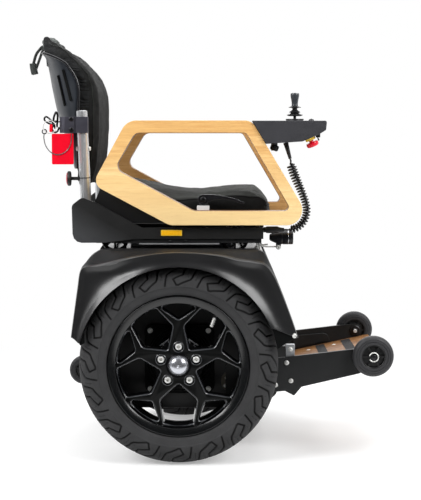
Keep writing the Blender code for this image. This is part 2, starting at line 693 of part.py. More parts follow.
def side_plate(side, carrier):
    """Bent side plate with its top flange and the studs under the armrest."""
    name = "side_plate_" + ("R" if side == RIGHT else "L")
    corners = [(-0.2586, 0.6130, 0.012), (-0.2340, 0.6320, 0.012), (-0.1990, 0.6185, 0.02),
               (-0.0890, SIDE_PLATE_TOP, 0.02),
               (SIDE_PLATE_FRONT, SIDE_PLATE_TOP, 0.001), (SIDE_PLATE_FRONT, 0.5315, 0.001),
               (-0.1033, 0.5315, 0.02),
               (-0.1832, 0.5226, 0.01), (-0.2560, 0.5226, 0.022)]
    piece = plate(name, [rounded(corners, 3)], SIDE_PLATE_INNER, SIDE_PLATE_INNER + SIDE_PLATE_THICKNESS,
                  "sheet_black", side, carrier)
    crease_start, crease_end = Vector((-0.2540, 0.6115)), Vector((-0.1050, 0.5330))
    along = (crease_end - crease_start).normalized()
    below = Vector((along.y, -along.x))
    work = bmesh.new()
    work.from_mesh(piece.data)
    bmesh.ops.bisect_plane(work, geom=work.verts[:] + work.edges[:] + work.faces[:],
                           plane_co=(crease_start.x, crease_start.y, 0), plane_no=(below.x, below.y, 0))
    for vertex in work.verts:
        depth = (vertex.co.xy - crease_start).dot(below)
        if depth > 0:
            vertex.co.z -= side * depth * math.tan(CREASE_LEAN)
    work.to_mesh(piece.data)
    work.free()

    inner = ARMREST_INNER
    low, high = sorted((side * inner, side * (SIDE_PLATE_INNER + 0.001)))
    join(piece, block(name + "_flange", (-0.082, low, SIDE_PLATE_TOP - 0.003),
                      (SIDE_PLATE_FRONT - 0.001, high,
                                                                              SIDE_PLATE_TOP - 0.0002),
                      None, carrier))
    for index, x in enumerate((-0.012, 0.060, 0.134, 0.190)):
        stud_y = side * (ARMREST_INNER + 0.010)
        join(piece, rod(name + "_stud_" + str(index), (x, stud_y, SIDE_PLATE_TOP - 0.002),
                        (x, stud_y, ARMREST_BOTTOM - GAP), STUD_RADIUS, None, carrier, 8))
    return piece


def seat_tray(carrier):
    """Sheet tray between the side plates, with windows for the rollers and holes for their axles."""
    half = SIDE_PLATE_INNER - GAP
    low, high = TRAY_HEIGHT
    rear, front = ROLLER_REAR_X - ROLLER_RADIUS - 0.0085, SIDE_PLATE_FRONT - 0.0045
    tray = block("seat_tray", (rear, -half, low), (front, half, high), "sheet_black", carrier)
    w = TRAY_WALL
    cut(tray, block("tray_hollow", (rear + w, w - half, low + w), (front - w, half - w, high + 0.02), None,
                    carrier))
    for label, x in (("rear", ROLLER_REAR_X), ("front", ROLLER_FRONT_X)):
        for side in (RIGHT, LEFT):
            y_low, y_high = sorted((side * (ROLLER_INNER - 0.003), side * (ROLLER_OUTER + 0.003)))
            reach = ROLLER_RADIUS + 0.002
            window = block("window_" + label + str(side), (x - reach, y_low, low - 0.01),
                           (x + reach, y_high, low + 0.01),
                           None, carrier)
            cut(tray, window)
        hole = rod("axle_hole_" + label, (x, -half - 0.01, roller_height()),
                   (x, half + 0.01, roller_height()),
                   ROLLER_AXLE_RADIUS + RUNNING_GAP, None, carrier, 20)
        cut(tray, hole)
    return tray


def roller_height():
    return SEAT_DATUM + GAP + ROLLER_RADIUS


def roller(label, x, carrier):
    """Two rollers on one axle, which turns in the tray's walls."""
    axle = pivot("roller_axle_" + label, (x, 0, roller_height()), carrier)
    end = SIDE_PLATE_INNER - GAP
    r, a = ROLLER_RADIUS, ROLLER_AXLE_RADIUS
    inner, outer = ROLLER_INNER, ROLLER_OUTER
    half = [(a, end), (a, outer - 0.004), (0.026, outer - 0.004), (0.028, outer), (r, outer), (r, inner),
            (a, inner)]
    profile = [(0, end)] + half + [(radius, -h) for radius, h in reversed(half)] + [(0, -end)]
    return smooth(turned("roller_" + label, profile, (0, 1, 0), (x, 0, roller_height()), "satin_black",
                         axle, 16))


def cross_plate(carrier):
    """Aluminium plate under the tray, with the shoe that runs on the guide rail."""
    half = SIDE_PLATE_INNER - GAP
    high = TRAY_HEIGHT[0] - GAP
    low = high - CROSS_PLATE_THICKNESS
    piece = block("cross_plate", (-CROSS_PLATE_REACH, -half, low), (CROSS_PLATE_REACH, half, high),
                  "aluminium", carrier)
    gap = RUNNING_GAP
    bottom, top = SEAT_DATUM + 0.0055, SEAT_DATUM + RAIL_HEIGHT + gap
    under = SEAT_DATUM + RAIL_HEIGHT - 0.005 - gap
    outline = [(-0.034, low + 0.001), (-0.034, bottom), (-0.008 - gap, bottom), (-0.008 - gap, under),
               (-0.020 - gap, under), (-0.020 - gap, top), (0.020 + gap, top),
               (0.020 + gap, under), (0.008 + gap, under), (0.008 + gap, bottom), (0.034, bottom),
               (0.034, low + 0.001)]
    shoe = flat_mesh("guide_shoe", [outline], 0.120)
    join(piece, add("guide_shoe", shoe, None, carrier, (0, 0, 0), (math.pi / 2, 0, math.pi / 2)))
    return piece


def seat_board(carrier):
    low = TRAY_HEIGHT[1] + GAP
    return soften(block("seat_board", (-0.198, -BOARD_HALF_WIDTH, low), (0.205,
                                                                         BOARD_HALF_WIDTH,
                                                                         low + BOARD_THICKNESS),
                        "satin_black", carrier), 0.002, 1)


ARMREST_OUTER = [(-0.1238, ARMREST_TOP, 0.039), (0.1740, ARMREST_TOP, 0.0286),
                 (0.3236, ARMREST_BOTTOM, 0.0373),
                 (-0.0226, ARMREST_BOTTOM, 0.040), (-0.2071, 0.6639, 0.025)]
ARMREST_OPENING = [(-0.1040, 0.7866, 0.022), (0.1608, 0.7866, 0.012), (0.2700, 0.6001, 0.010),
                   (0.0352, 0.6001, 0.030),
                   (-0.1538, 0.7014, 0.020)]


def armrest(side, carrier):
    """Closed plywood frame."""
    name = "armrest_" + ("R" if side == RIGHT else "L")
    outlines = [rounded(ARMREST_OUTER, 4), rounded(ARMREST_OPENING, 3)]
    return soften(plate(name, outlines, ARMREST_INNER, ARMREST_INNER + ARMREST_THICKNESS, "oak", side,
                        carrier),
                  0.0020, 1, 50)


def arm_guard(side, carrier):
    """Side guard in the corner between the armrest and the side plate."""
    name = "arm_guard_" + ("R" if side == RIGHT else "L")
    outer = ARMREST_INNER - GAP
    corners = [(-0.2060, 0.6180, 0.004), (-0.1900, 0.6560, 0.008), (-0.1650, 0.6680, 0.010),
               (-0.0200, 0.5900, 0.010),
               (-0.0200, 0.5690, 0.004), (-0.1100, 0.5690, 0.010), (-0.1900, 0.6000, 0.010)]
    return plate(name, [rounded(corners, 2)], outer - 0.0025, outer, "satin_black", side, carrier)


# Cushions

def soft_box(name, cuts, finish, carrier, shape):
    """Rounded cage of a box whose points (each -1 to 1) are moved by a function, then smoothed."""
    mesh = bpy.data.meshes.new(name)
    work = bmesh.new()
    bmesh.ops.create_cube(work, size=2)
    bmesh.ops.subdivide_edges(work, edges=work.edges[:], cuts=cuts, use_grid_fill=True)
    for vertex in work.verts:
        vertex.co = shape(*vertex.co)
    bmesh.ops.recalc_face_normals(work, faces=work.faces)
    work.to_mesh(mesh)
    work.free()
    mesh.shade_smooth()
    piece = add(name, mesh, finish, carrier)
    soft = piece.modifiers.new("soft", "SUBSURF")
    soft.levels = soft.render_levels = 1
    return piece


SEAT_CROWN = [(-0.180, 0.671), (-0.125, 0.672), (-0.080, 0.664), (-0.020, 0.650), (0.045, 0.645),
              (0.090, 0.650),
              (0.130, 0.656), (0.180, 0.656), (0.210, 0.652), (0.230, 0.648)]
SEAT_RAIL = [(-0.180, 0.655), (-0.100, 0.642), (0.000, 0.632), (0.120, 0.643), (0.230, 0.638)]


def seat_cushion(carrier):
    """Contoured cushion: crowned top over a seam line, sides drawn in under it."""
    bottom = TRAY_HEIGHT[1] + 2 * GAP + BOARD_THICKNESS + 0.0005

    def shape(u, v, w):
        x = 0.0225 + 0.2065 * u
        seam = interpolate(SEAT_RAIL, x)
        crown = interpolate(SEAT_CROWN, x)
        top = seam + (crown - seam) * (1 - abs(v) ** 3)
        up = (w + 1) / 2
        z = bottom + (top - bottom) * up
        drawn_in = 0.006 * math.sin(math.pi * up)
        front_lean = 0.008 * (1 - up) * (1 if u > 0.9 else 0)
        y = v * (CUSHION_HALF_WIDTH - drawn_in * (1 if abs(v) > 0.9 else 0))
        return Vector((x - front_lean, y, z))

    return soft_box("seat_cushion", 4, "fabric", carrier, shape)


# Spine line of the back shell and front line of the bolsters: (height, x)
SPINE = [(0.640, -0.2500), (0.700, -0.2640), (0.840, -0.3134), (0.900, -0.3260), (0.978, -0.3380),
         (1.030, -0.3440)]
BOLSTER = [(0.640, -0.2225), (0.6725, -0.2085), (0.7077, -0.1990), (0.746, -0.1955), (0.800, -0.1914),
           (0.870, -0.1911),
           (0.900, -0.1939), (0.9243, -0.2017), (0.9463, -0.2142), (0.9667, -0.2363), (0.9934, -0.2613),
           (1.010, -0.2900), (1.030, -0.3150)]
WING = [(0.700, -0.2480), (0.8501, -0.2450), (0.880, -0.2429), (0.896, -0.2435), (0.9191, -0.2495),
        (0.9358, -0.2600),
        (0.9572, -0.2770), (0.9679, -0.2983), (0.978, -0.3260)]


def shell_line(share, height):
    """Point of the shell's outer face: share -1 to 1 runs from wing to wing."""
    angle = share * math.pi / 2
    spine = interpolate(SPINE, height)
    depth = max(interpolate(WING, height) - spine, 0.004)
    forward = depth * (1 - abs(math.cos(angle)) ** 0.8)
    return Vector((spine + forward, SHELL_HALF_WIDTH * math.sin(angle), height))


def back_shell(carrier):
    """Moulded shell round the back cushion, thin and open to the front."""
    columns, heights = 12, (0.700, 0.750, 0.840, 0.880, 0.920, 0.950, 0.978)
    mesh = bpy.data.meshes.new("back_shell")
    vertices = [shell_line(2 * column / columns - 1, z) for z in heights for column in range(columns + 1)]
    row = columns + 1
    faces = [(r * row + c, r * row + c + 1, (r + 1) * row + c + 1, (r + 1) * row + c)
             for r in range(len(heights) - 1) for c in range(columns)]
    mesh.from_pydata(vertices, [], faces)
    mesh.flip_normals()
    piece = add("back_shell", mesh, "satin_black", carrier)
    wall = piece.modifiers.new("wall", "SOLIDIFY")
    wall.thickness = SHELL_WALL
    wall.offset = -1 if mesh.polygons[columns // 2].normal.x < 0 else 1
    return smooth(piece)


def back_cushion(carrier):
    """Back cushion in front of the shell: side bolsters, a middle channel and a folded top."""
    def shape(u, v, w):
        up = (w + 1) / 2
        z = 0.648 + (1.0300 - 0.648) * up
        width = BACK_CUSHION_HALF_WIDTH * (1 - 0.16 * max(0, (up - 0.72) / 0.28) ** 2)
        y = v * width
        angle = math.asin(max(-1, min(1, y / SHELL_HALF_WIDTH)))
        spine = interpolate(SPINE, z)
        depth = max(interpolate(WING, z) - spine, 0.004) if 0.69 < z < 0.978 else 0.004
        rear = spine + SHELL_WALL + 0.003 + depth * (1 - math.cos(angle) ** 0.8)
        front = interpolate(BOLSTER, z) - 0.018 * (1 - v * v) - 0.004 * math.exp(-(v / 0.18) ** 2)
        front = max(front, rear + 0.020)
        return Vector((rear + (front - rear) * (u + 1) / 2, y, z))

    return soft_box("back_cushion", 4, "fabric", carrier, shape)


# Backrest

def back_post(side, carrier):
    """Bent-free post with its foot pin."""
    name = "back_post_" + ("R" if side == RIGHT else "L")
    y = side * POST_Y
    lean = (POST_TOP[0] - POST_FOOT[0]) / (POST_TOP[1] - POST_FOOT[1])
    foot = (POST_FOOT[0] - 0.016 * lean, y, POST_FOOT[1] - 0.016)
    post = rod(name, foot, (POST_TOP[0], y, POST_TOP[1]), POST_RADIUS, "steel", carrier, 20)
    pin_end = side * (SIDE_PLATE_INNER - GAP)
    join(post, rod(name + "_pin", (POST_FOOT[0], y, POST_FOOT[1]), (POST_FOOT[0], pin_end, POST_FOOT[1]),
                   0.006, None,
                   carrier, 12))
    return post


def back_clamp(side, carrier):
    """Clamp round a post, carrying the shell's wing; the right one has a hook for the key ring."""
    letter = "R" if side == RIGHT else "L"
    name = "back_clamp_" + letter
    low, high = CLAMP_HEIGHT
    middle_z = (low + high) / 2
    inner = SHELL_HALF_WIDTH + GAP
    half = (CLAMP_OUTER - inner) / 2
    middle_y = side * (inner + half)
    outline = [Vector((CLAMP_FRONT, -half)), Vector((CLAMP_FRONT,
                                                     half))] + arc((-0.2720, 0), half, 90, 270, 8)
    mesh = flat_mesh(name, [outline], high - low)
    clamp = add(name, mesh, "anodised", carrier, (0, middle_y, middle_z))
    top = Vector((POST_TOP[0], side * POST_Y, POST_TOP[1]))
    foot = Vector((POST_FOOT[0], side * POST_Y, POST_FOOT[1]))
    direction = (top - foot).normalized()
    bore = rod(name + "_bore", foot + direction * 0.10, top + direction * 0.02, POST_RADIUS + GAP, None,
               carrier, 20)
    cut(clamp, bore)
    if side == RIGHT:
        ring_x, ring_z = TAG_HOOK
        hook = [(-0.2860, middle_y, 0.8130), (ring_x + 0.004, 0.0105 - CLAMP_OUTER, ring_z),
                (ring_x, 0.0065 - CLAMP_OUTER, ring_z), (ring_x, -0.0075 - CLAMP_OUTER, ring_z)]
        join(clamp, tube(name + "_hook", hook, 0.0015, None, carrier, 1))
    return clamp


TAG_HOOK = (-0.3101, 0.8130)
TAG_Y = -CLAMP_OUTER - 0.0037
RING_RADIUS = 0.0155


def tag(carrier):
    """Flat tag on a cable loop under a key ring that hangs on the clamp's hook."""
    axis = pivot("tag_hook", (TAG_HOOK[0], TAG_Y, TAG_HOOK[1]), carrier)
    corners = [(-0.3050, 0.7110, 0.003), (-0.2530, 0.7110, 0.003), (-0.2530, 0.7845, 0.003),
               (-0.3050, 0.7845, 0.003)]
    half = 0.0015
    piece = plate("tag", [rounded(corners, 2)], -TAG_Y - half, -TAG_Y + half, "red", RIGHT, axis)
    wire = 0.0012
    centre_z = TAG_HOOK[1] + 0.0015 + GAP + wire - RING_RADIUS
    ring = [(TAG_HOOK[0] + p.x, TAG_Y, centre_z + p.y) for p in arc((0, 0), RING_RADIUS, 0, 345, 23)]
    join(piece, tube("tag_ring", ring, wire, None, axis, 1, cyclic=True))
    loop = [(-0.3103, TAG_Y, 0.7851), (-0.3125, TAG_Y, 0.7760), (-0.3060, TAG_Y, 0.7580),
            (-0.2960, TAG_Y, 0.7480),
            (-0.2850, TAG_Y, 0.7520), (-0.2830, TAG_Y, 0.7700)]
    cable = [tuple(p) for p in blend_through([Vector(p) for p in loop], 14)]
    join(piece, tube("tag_cable", cable, wire - 0.0002, None, axis, 1))
    return piece


def pull_strap(carrier):
    """Webbing strap over the shell's top edge, with a stitched end tab."""
    width = 0.025
    line = [(0.9550, 0), (0.9780, 0), (1.0030, 0.0035)]
    front = [Vector((interpolate(SPINE, z) - GAP - lean, z)) for z, lean in line]
    rear = [p + Vector((-0.0028, 0.0004)) for p in front]
    front += [Vector((-0.3505, 1.0068)), Vector((-0.3578, 1.0042)), Vector((-0.3694, 0.9886)),
              Vector((-0.3786, 0.9610))]
    rear += [Vector((-0.3500, 1.0040)), Vector((-0.3560, 1.0020)), Vector((-0.3670, 0.9870)),
             Vector((-0.3760, 0.9600))]
    mesh = flat_mesh("pull_strap", [front + list(reversed(rear))], width)
    strap = add("pull_strap", mesh, "webbing", carrier, (0, 0, 0), (math.pi / 2, 0, 0))
    corners = [(-0.3860, 0.9580, 0.002), (-0.3700, 0.9640, 0.002), (-0.3630, 0.9370, 0.002),
               (-0.3790, 0.9340, 0.002)]
    join(strap, plate("strap_tab", [rounded(corners, 2)], -0.016, 0.016, None, RIGHT, carrier))
    return strap


def rear_reflector(carrier):
    """Round reflector on a stem behind the right post."""
    height = 0.6766
    lean = (POST_TOP[0] - POST_FOOT[0]) / (POST_TOP[1] - POST_FOOT[1])
    post_x = POST_FOOT[0] + (height - POST_FOOT[1]) * lean
    stem_end = post_x - POST_RADIUS - GAP - 0.0002
    face = -0.2710
    profile = [(0, -face), (0.015, -face), (0.018, -face - 0.003), (0.018, -face - 0.008),
               (0.004, -face - 0.010),
               (0.004, -stem_end), (0, -stem_end)]
    return smooth(turned("rear_reflector", profile, (-1, 0, 0), (0, -POST_Y, height), "red", carrier, 24))


# Controls

def armrest_front(z):
    """Front edge of the armrest at a height."""
    (x_top, z_top, _), (x_low, z_low, _) = ARMREST_OUTER[1], ARMREST_OUTER[2]
    return x_top + (z_top - z) * (x_low - x_top) / (z_top - z_low)


def control_box(carrier):
    """Joystick housing on the right armrest's front end, with its well, button hole and thumb knob."""
    clear = 0.0006
    corners = [(armrest_front(BOX_TOP) + clear, BOX_TOP, 0), (0.3531, BOX_TOP, 0.004),
               (0.3509, 0.7932, 0.004),
               (0.3338, 0.7826, 0.003), (0.2948, 0.7659, 0.003), (armrest_front(0.7602) + clear, 0.7602, 0)]
    outer = -BOX_Y + BOX_WIDTH / 2
    box = soften(plate("control_box", [rounded(corners, 2)], outer - BOX_WIDTH, outer, "satin_black", RIGHT,
                       carrier),
                 0.001, 1, 60)
    join(box, rod("joystick_base", (STICK_X, BOX_Y, 0.8140), (STICK_X, BOX_Y, 0.8175),
                  STICK_WELL_RADIUS + 0.0092,
                  None, carrier, 24, STICK_WELL_RADIUS + 0.0082))
    cut(box, rod("joystick_well", (STICK_X, BOX_Y, 0.8070), (STICK_X, BOX_Y, 0.8200), STICK_WELL_RADIUS,
                 None, carrier,
                 24))
    cut(box, rod("dome_well", (DOME_X, BOX_Y, 0.8080), (DOME_X, BOX_Y, 0.8200), 0.0070, None, carrier, 16))
    join(box, rod("thumb_knob", (0.2290, BOX_Y, 0.7440), (0.2290, BOX_Y, 0.7640), 0.0080, None, carrier, 14))
    return box


def joystick(carrier):
    """Gimbal ring and stick: the ring tilts about X in the well, the stick about Y in the ring."""
    place = (STICK_X, BOX_Y, STICK_PIVOT)
    outer_axis = pivot("joystick_cross_axis", place, carrier)
    outer = STICK_WELL_RADIUS - 0.0025
    inner = outer - 0.0032
    ring = [(outer, 0.0015), (outer, -0.0015), (inner, -0.0015), (inner, 0.0015)]
    gimbal = turned("joystick_gimbal", ring, (0, 0, 1), place, "steel", outer_axis, 16, closed=True)
    for sign in (-1, 1):
        start = Vector(place) + Vector((sign * (outer - 0.0010), 0, 0))
        end = Vector(place) + Vector((sign * (STICK_WELL_RADIUS - GAP), 0, 0))
        join(gimbal, rod("gimbal_pin" + str(sign), start, end, 0.0012, None, outer_axis, 10))
    inner_axis = pivot("joystick_axis", place, outer_axis)
    heights = [(0, 0.8820), (0.0075, 0.8812), (0.0098, 0.8780), (0.0070, 0.8520), (0.0150, 0.8485),
               (0.0150, 0.8460),
               (0.0063, 0.8440), (0.0063, 0.8400), (0.0130, 0.8365), (0.0090, 0.8335), (0.0190, 0.8305),
               (0.0190, 0.8270), (0.0032, 0.8255), (0.0032, 0.8135), (0, 0.8135)]
    profile = [(r, z - STICK_PIVOT) for r, z in heights]
    stick = smooth(turned("joystick_stick", profile, (0, 0, 1), place, "satin_black", inner_axis, 16))
    for sign in (-1, 1):
        start = Vector(place) + Vector((0, sign * 0.0020, 0))
        end = Vector(place) + Vector((0, sign * (inner - GAP), 0))
        join(stick, rod("stick_pin" + str(sign), start, end, 0.0010, None, inner_axis, 10))
    return stick


def dome_button(carrier):
    axis = pivot("dome_button_axis", (DOME_X, BOX_Y, BOX_TOP), carrier)
    profile = [(0, 0.8210), (0.0035, 0.8203), (0.0060, 0.8185), (0.0067, 0.8165), (0.0067, 0.8115),
               (0, 0.8115)]
    return smooth(turned("dome_button", profile, (0, 0, 1), (DOME_X, BOX_Y, 0), "satin_black", axis, 16))


STOP_AXIS = Vector((0.7826 - 0.7659, 0, -(0.3338 - 0.2948))).normalized()


def emergency_stop(carrier):
    """Collar and mushroom button on the box's sloping under-face."""
    place = Vector((STOP_FACE_POINT[0], BOX_Y, STOP_FACE_POINT[1]))
    collar = [(0.0058, 0.0063), (0.0092, 0.0063), (0.0100, 0.0050), (0.0100, GAP), (0.0058, GAP)]
    smooth(turned("stop_collar", collar, STOP_AXIS, place, "yellow", carrier, 20, closed=True))
    axis = pivot("stop_button_axis", place, carrier)
    button = [(0, 0.0215), (0.0100, 0.0210), (0.0132, 0.0190), (0.0142, 0.0160), (0.0135, 0.0120),
              (0.0110, 0.0107),
              (0.0055, 0.0107), (0.0055, 0.0050), (0, 0.0050)]
    smooth(turned("stop_button", button, STOP_AXIS, place, "red", axis, 20))


def toggle(carrier):
    """Small toggle beside the stop button, on a ball foot."""
    along = Vector((STOP_AXIS.z, 0, -STOP_AXIS.x)) * -1
    foot = Vector((STOP_FACE_POINT[0], BOX_Y, STOP_FACE_POINT[1])) + along * 0.0175
    ball = 0.0030
    centre = foot + STOP_AXIS * (ball + GAP)
    axis = pivot("toggle_axis", centre, carrier)
    profile = [(0, 0.0110), (0.0019, 0.0105), (0.0022, 0.0090), (0.0013, 0.0028), (0.0024, 0.0018), (ball, 0),
               (0.0021, -0.0021), (0, -ball)]
    return smooth(turned("toggle", profile, STOP_AXIS, centre, "satin_black", axis, 14))


def box_under(x):
    """Height of the control box's under-face at a place along it."""
    low_x, low_z = armrest_front(0.7602), 0.7602
    return low_z + (x - low_x) * (0.7659 - low_z) / (0.2948 - low_x)


CORD_TOP = Vector((0.2673, CORD_Y, 0.7242))
CORD_BOTTOM = Vector((0.2535, CORD_Y, 0.5535))


def cord_sleeve(carrier):
    """Tapered sleeve under the control box."""
    start = Vector((0.2570, CORD_Y, box_under(0.2570) - GAP - 0.0010))
    return rod("cord_sleeve", start, CORD_TOP, 0.0055, "satin_black", carrier, 16, 0.0034)


def curly_cord(carrier):
    """Curly cord round the armrest's front corner, from the sleeve to the socket on the seat frame."""
    sleeve_way = (CORD_TOP - Vector((0.2570, CORD_Y, box_under(0.2570)))).normalized()
    wire = CORD_WIRE_RADIUS
    start = CORD_TOP + sleeve_way * GAP
    end = CORD_BOTTOM + Vector((GAP, 0, 0))
    route = [Vector((x, CORD_Y, z)) for x, z in
             ((0.2685, 0.7130), (0.2760, 0.6900), (0.2850, 0.6680), (0.2955, 0.6440), (0.3035, 0.6225),
              (0.3075, 0.6010), (0.3040, 0.5820), (0.2945, 0.5665), (0.2800, 0.5568), (0.2660, 0.5535))]
    coil_radius = CORD_OUTER_RADIUS - wire
    samples = CORD_TURNS * CORD_POINTS_PER_TURN
    spine = blend_through(route, samples)
    across = Vector((0, 1, 0))
    coil = []
    for index, point in enumerate(spine):
        ahead = spine[min(index + 1, samples)] - spine[max(index - 1, 0)]
        normal = across.cross(ahead.normalized())
        angle = 2 * math.pi * index / CORD_POINTS_PER_TURN
        grow = min(1, index / CORD_POINTS_PER_TURN, (samples - index) / CORD_POINTS_PER_TURN)
        radius = coil_radius * math.sin(grow * math.pi / 2)
        coil.append(point + (across * math.sin(angle) + normal * math.cos(angle)) * radius)
    points = [start, start + sleeve_way * 2 * wire, *coil, end + Vector((2 * wire, 0, 0)), end]
    print("curly cord: least gap to itself %.2f mm, length %.3f m" % cord_gap(points, wire))
    return tube("curly_cord", [tuple(p) for p in points], wire, "satin_black", carrier, 1)


def cord_gap(points, wire):
    """Least gap between stretches of the cord half a turn or more apart, in mm, and the cord's length."""
    apart = CORD_POINTS_PER_TURN // 2
    least = min((a - b).length for i, a in enumerate(points) for b in points[i + apart + 1:i + 4 * apart])
    length = sum((b - a).length for a, b in zip(points, points[1:]))
    return (least - 2 * wire) * 1000, length


def cord_socket(carrier):
    """Round socket on the side plate's front edge, for the cord's lower end."""
    start = SIDE_PLATE_FRONT + GAP
    profile = [(0, CORD_BOTTOM.x), (0.0045, CORD_BOTTOM.x), (0.0055, CORD_BOTTOM.x - 0.010),
               (0.0075, CORD_BOTTOM.x - 0.014),
               (0.0075, start + 0.006), (0.0065, start + 0.006), (0.0065, start), (0, start)]
    return smooth(turned("cord_socket", profile, (1, 0, 0), (0, CORD_Y, CORD_BOTTOM.z), "satin_black",
                         carrier, 20))


LEVER_PIVOT = (0.0576, 0.6250)


def quick_release(carrier):
    """Lever on an ear that is bolted to the armrest's inner face."""
    px, pz = LEVER_PIVOT
    outer = ARMREST_INNER - GAP
    ear_inner = outer - 0.0047
    foot = [(px - 0.015, 0.5800, 0.002), (px + 0.015, 0.5800, 0.002), (px + 0.015, 0.6110, 0.002),
            (px - 0.015, 0.6110, 0.002)]
    base = plate("lever_base", [rounded(foot, 2)], outer - 0.0150, outer, "light_grey", RIGHT, carrier)
    ear = [Vector((px - 0.010, 0.605)), Vector((px + 0.010, 0.605))] + arc((px, pz), 0.010, 0, 180, 8)
    join(base, plate("lever_ear", [ear], ear_inner, outer - 0.0002, None, RIGHT, carrier))
    lever_outer = ear_inner - RUNNING_GAP
    lever_inner = lever_outer - 0.0095
    pin = 0.004
    join(base, rod("lever_pin", (px, -ear_inner - 0.001, pz), (px, -lever_inner, pz), pin, None, carrier, 16))
    axis = pivot("lever_axis", (px, -lever_outer, pz), carrier)
    tip_x, tip_z = 0.1560, 0.6172
    outline = arc((px, pz), 0.0130, 60, 300, 12) + [Vector((px + 0.020, 0.6210)),
                                                    Vector((px + 0.060, 0.6215))]
    outline += arc((tip_x, tip_z), 0.0030, -90, 90, 4)
    outline += [Vector((px + 0.070, 0.6310)), Vector((px + 0.035, 0.6370))]
    lever = plate("quick_release_lever", [outline], lever_inner, lever_outer, "gloss_black", RIGHT, axis)
    soften(lever, 0.002, 1, 50)
    cut(lever, rod("lever_bore", (px, -lever_inner + 0.01, pz), (px, -lever_outer - 0.01, pz), pin + GAP,
                   None, axis, 16))


LAMP_PIVOT = (0.2408, 0.5095)


def headlamp(carrier):
    """Lamp on a bent strip under the tray's front corner."""
    px, pz = LAMP_PIVOT
    width = 0.016
    inner, outer = -LAMP_Y - width / 2, -LAMP_Y + width / 2
    t = 0.0025
    upper = [(0.1806, 0.4990), (0.1880, 0.5100), (0.1960, 0.5135), (0.2100, 0.5110), (px, 0.5110)]
    lower = [(x + (0.0026 if i < 2 else 0), z - (0.0004 if i < 2 else t)) for i, (x, z) in enumerate(upper)]
    outline = [Vector(p) for p in upper] + [Vector(p) for p in reversed(lower)]
    bracket = plate("headlamp_bracket", [outline], inner, outer, "steel", RIGHT, carrier)
    join(bracket, rod("bracket_eye", (px, -inner, pz), (px, -outer - 0.0065, pz), 0.0030, None, carrier, 12))
    tray_under = TRAY_HEIGHT[0] - GAP
    for index, x in enumerate((0.1890, 0.1945)):
        join(bracket, rod("bracket_bolt_" + str(index), (x, LAMP_Y, 0.5085), (x, LAMP_Y, tray_under),
                          0.0024, None,
                          carrier, 10))
    axis = pivot("headlamp_axis", (px, LAMP_Y, pz), carrier)
    profile = [(0, 0.2770), (0.0150, 0.2765), (0.0172, 0.2750), (0.0172, 0.2470), (0.0135, 0.2330),
               (0.0075, 0.2200),
               (0, 0.2190)]
    lamp = smooth(turned("headlamp", profile, (1, 0, 0), (0, LAMP_Y, LAMP_Z), "satin_black", axis, 20))
    lug_inner = outer + RUNNING_GAP
    lug = [Vector((px + 0.006, LAMP_Z - 0.004)), Vector((px - 0.006,
                                                         LAMP_Z - 0.004))] + arc((px, pz), 0.006, 180, 360, 6)
    join(lamp, plate("lamp_lug", [lug], lug_inner, lug_inner + 0.004, None, RIGHT, axis))
    cut(lamp, rod("lamp_bore", (px, -lug_inner + 0.0002, pz), (px, -lug_inner - 0.010, pz), 0.0030 + GAP,
                  None, axis, 12))


def build():
    for side in (RIGHT, LEFT):
        main_wheel(side)
        drive(side)
        fender(side)
        foot_plate(side)
        caster(side)
        rear_arm(side)
        rear_wheel(side)
    chassis_tub()
    body_cover()
    battery_pack()
    guide_rail()
    footboard()

    seat = pivot("seat_slide", (0, 0, SEAT_DATUM), chair, DECK_HEIGHT - SEAT_DATUM)
    for side in (RIGHT, LEFT):
        side_plate(side, seat)
        armrest(side, seat)
        arm_guard(side, seat)
    seat_tray(seat)
    cross_plate(seat)
    seat_board(seat)
    seat_cushion(seat)
    roller("rear", ROLLER_REAR_X, seat)
    roller("front", ROLLER_FRONT_X, seat)
    quick_release(seat)
    headlamp(seat)
    control_box(seat)
    joystick(seat)
    dome_button(seat)
    emergency_stop(seat)
    toggle(seat)
    cord_sleeve(seat)
    curly_cord(seat)
    cord_socket(seat)

    recline = pivot("backrest_axis", (POST_FOOT[0], 0, POST_FOOT[1]), seat)
    for side in (RIGHT, LEFT):
        back_post(side, recline)
        back_clamp(side, recline)
    back_shell(recline)
    back_cushion(recline)
    pull_strap(recline)
    tag(recline)
    rear_reflector(recline)


build()
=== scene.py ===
"""Self-balancing wheelchair seen from its right-hand side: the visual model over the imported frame.

Sizes are in metres. Shapes are given from the main axle (x = 0) and the floor (z = 0), right side at -Y,
and AXLE moves them to the frame's own origin.
"""
import json
import math

import bmesh
import bpy
import numpy as np
from mathutils import Matrix, Vector, noise
from mathutils.bvhtree import BVHTree


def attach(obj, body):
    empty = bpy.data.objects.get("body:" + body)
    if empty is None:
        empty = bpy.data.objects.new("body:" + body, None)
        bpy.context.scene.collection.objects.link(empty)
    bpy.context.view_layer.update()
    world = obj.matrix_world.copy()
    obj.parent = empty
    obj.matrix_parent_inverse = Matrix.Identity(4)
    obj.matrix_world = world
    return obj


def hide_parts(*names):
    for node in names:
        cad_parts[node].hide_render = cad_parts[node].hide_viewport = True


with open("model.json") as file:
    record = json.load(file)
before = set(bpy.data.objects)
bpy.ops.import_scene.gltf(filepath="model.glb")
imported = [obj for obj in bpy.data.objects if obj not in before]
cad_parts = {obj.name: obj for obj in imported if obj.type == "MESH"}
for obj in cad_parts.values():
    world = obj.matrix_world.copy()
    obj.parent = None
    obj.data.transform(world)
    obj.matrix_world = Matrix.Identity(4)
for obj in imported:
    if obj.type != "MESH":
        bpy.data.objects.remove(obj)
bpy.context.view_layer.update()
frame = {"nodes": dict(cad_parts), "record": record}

AXLE = -0.067
RIGHT, LEFT = SIDES = -1, 1
LETTER = {RIGHT: "R", LEFT: "L"}
WHEEL_RADIUS = 0.2375
TRACK_HALF = 0.278
RIM_FACE = TRACK_HALF + 0.032
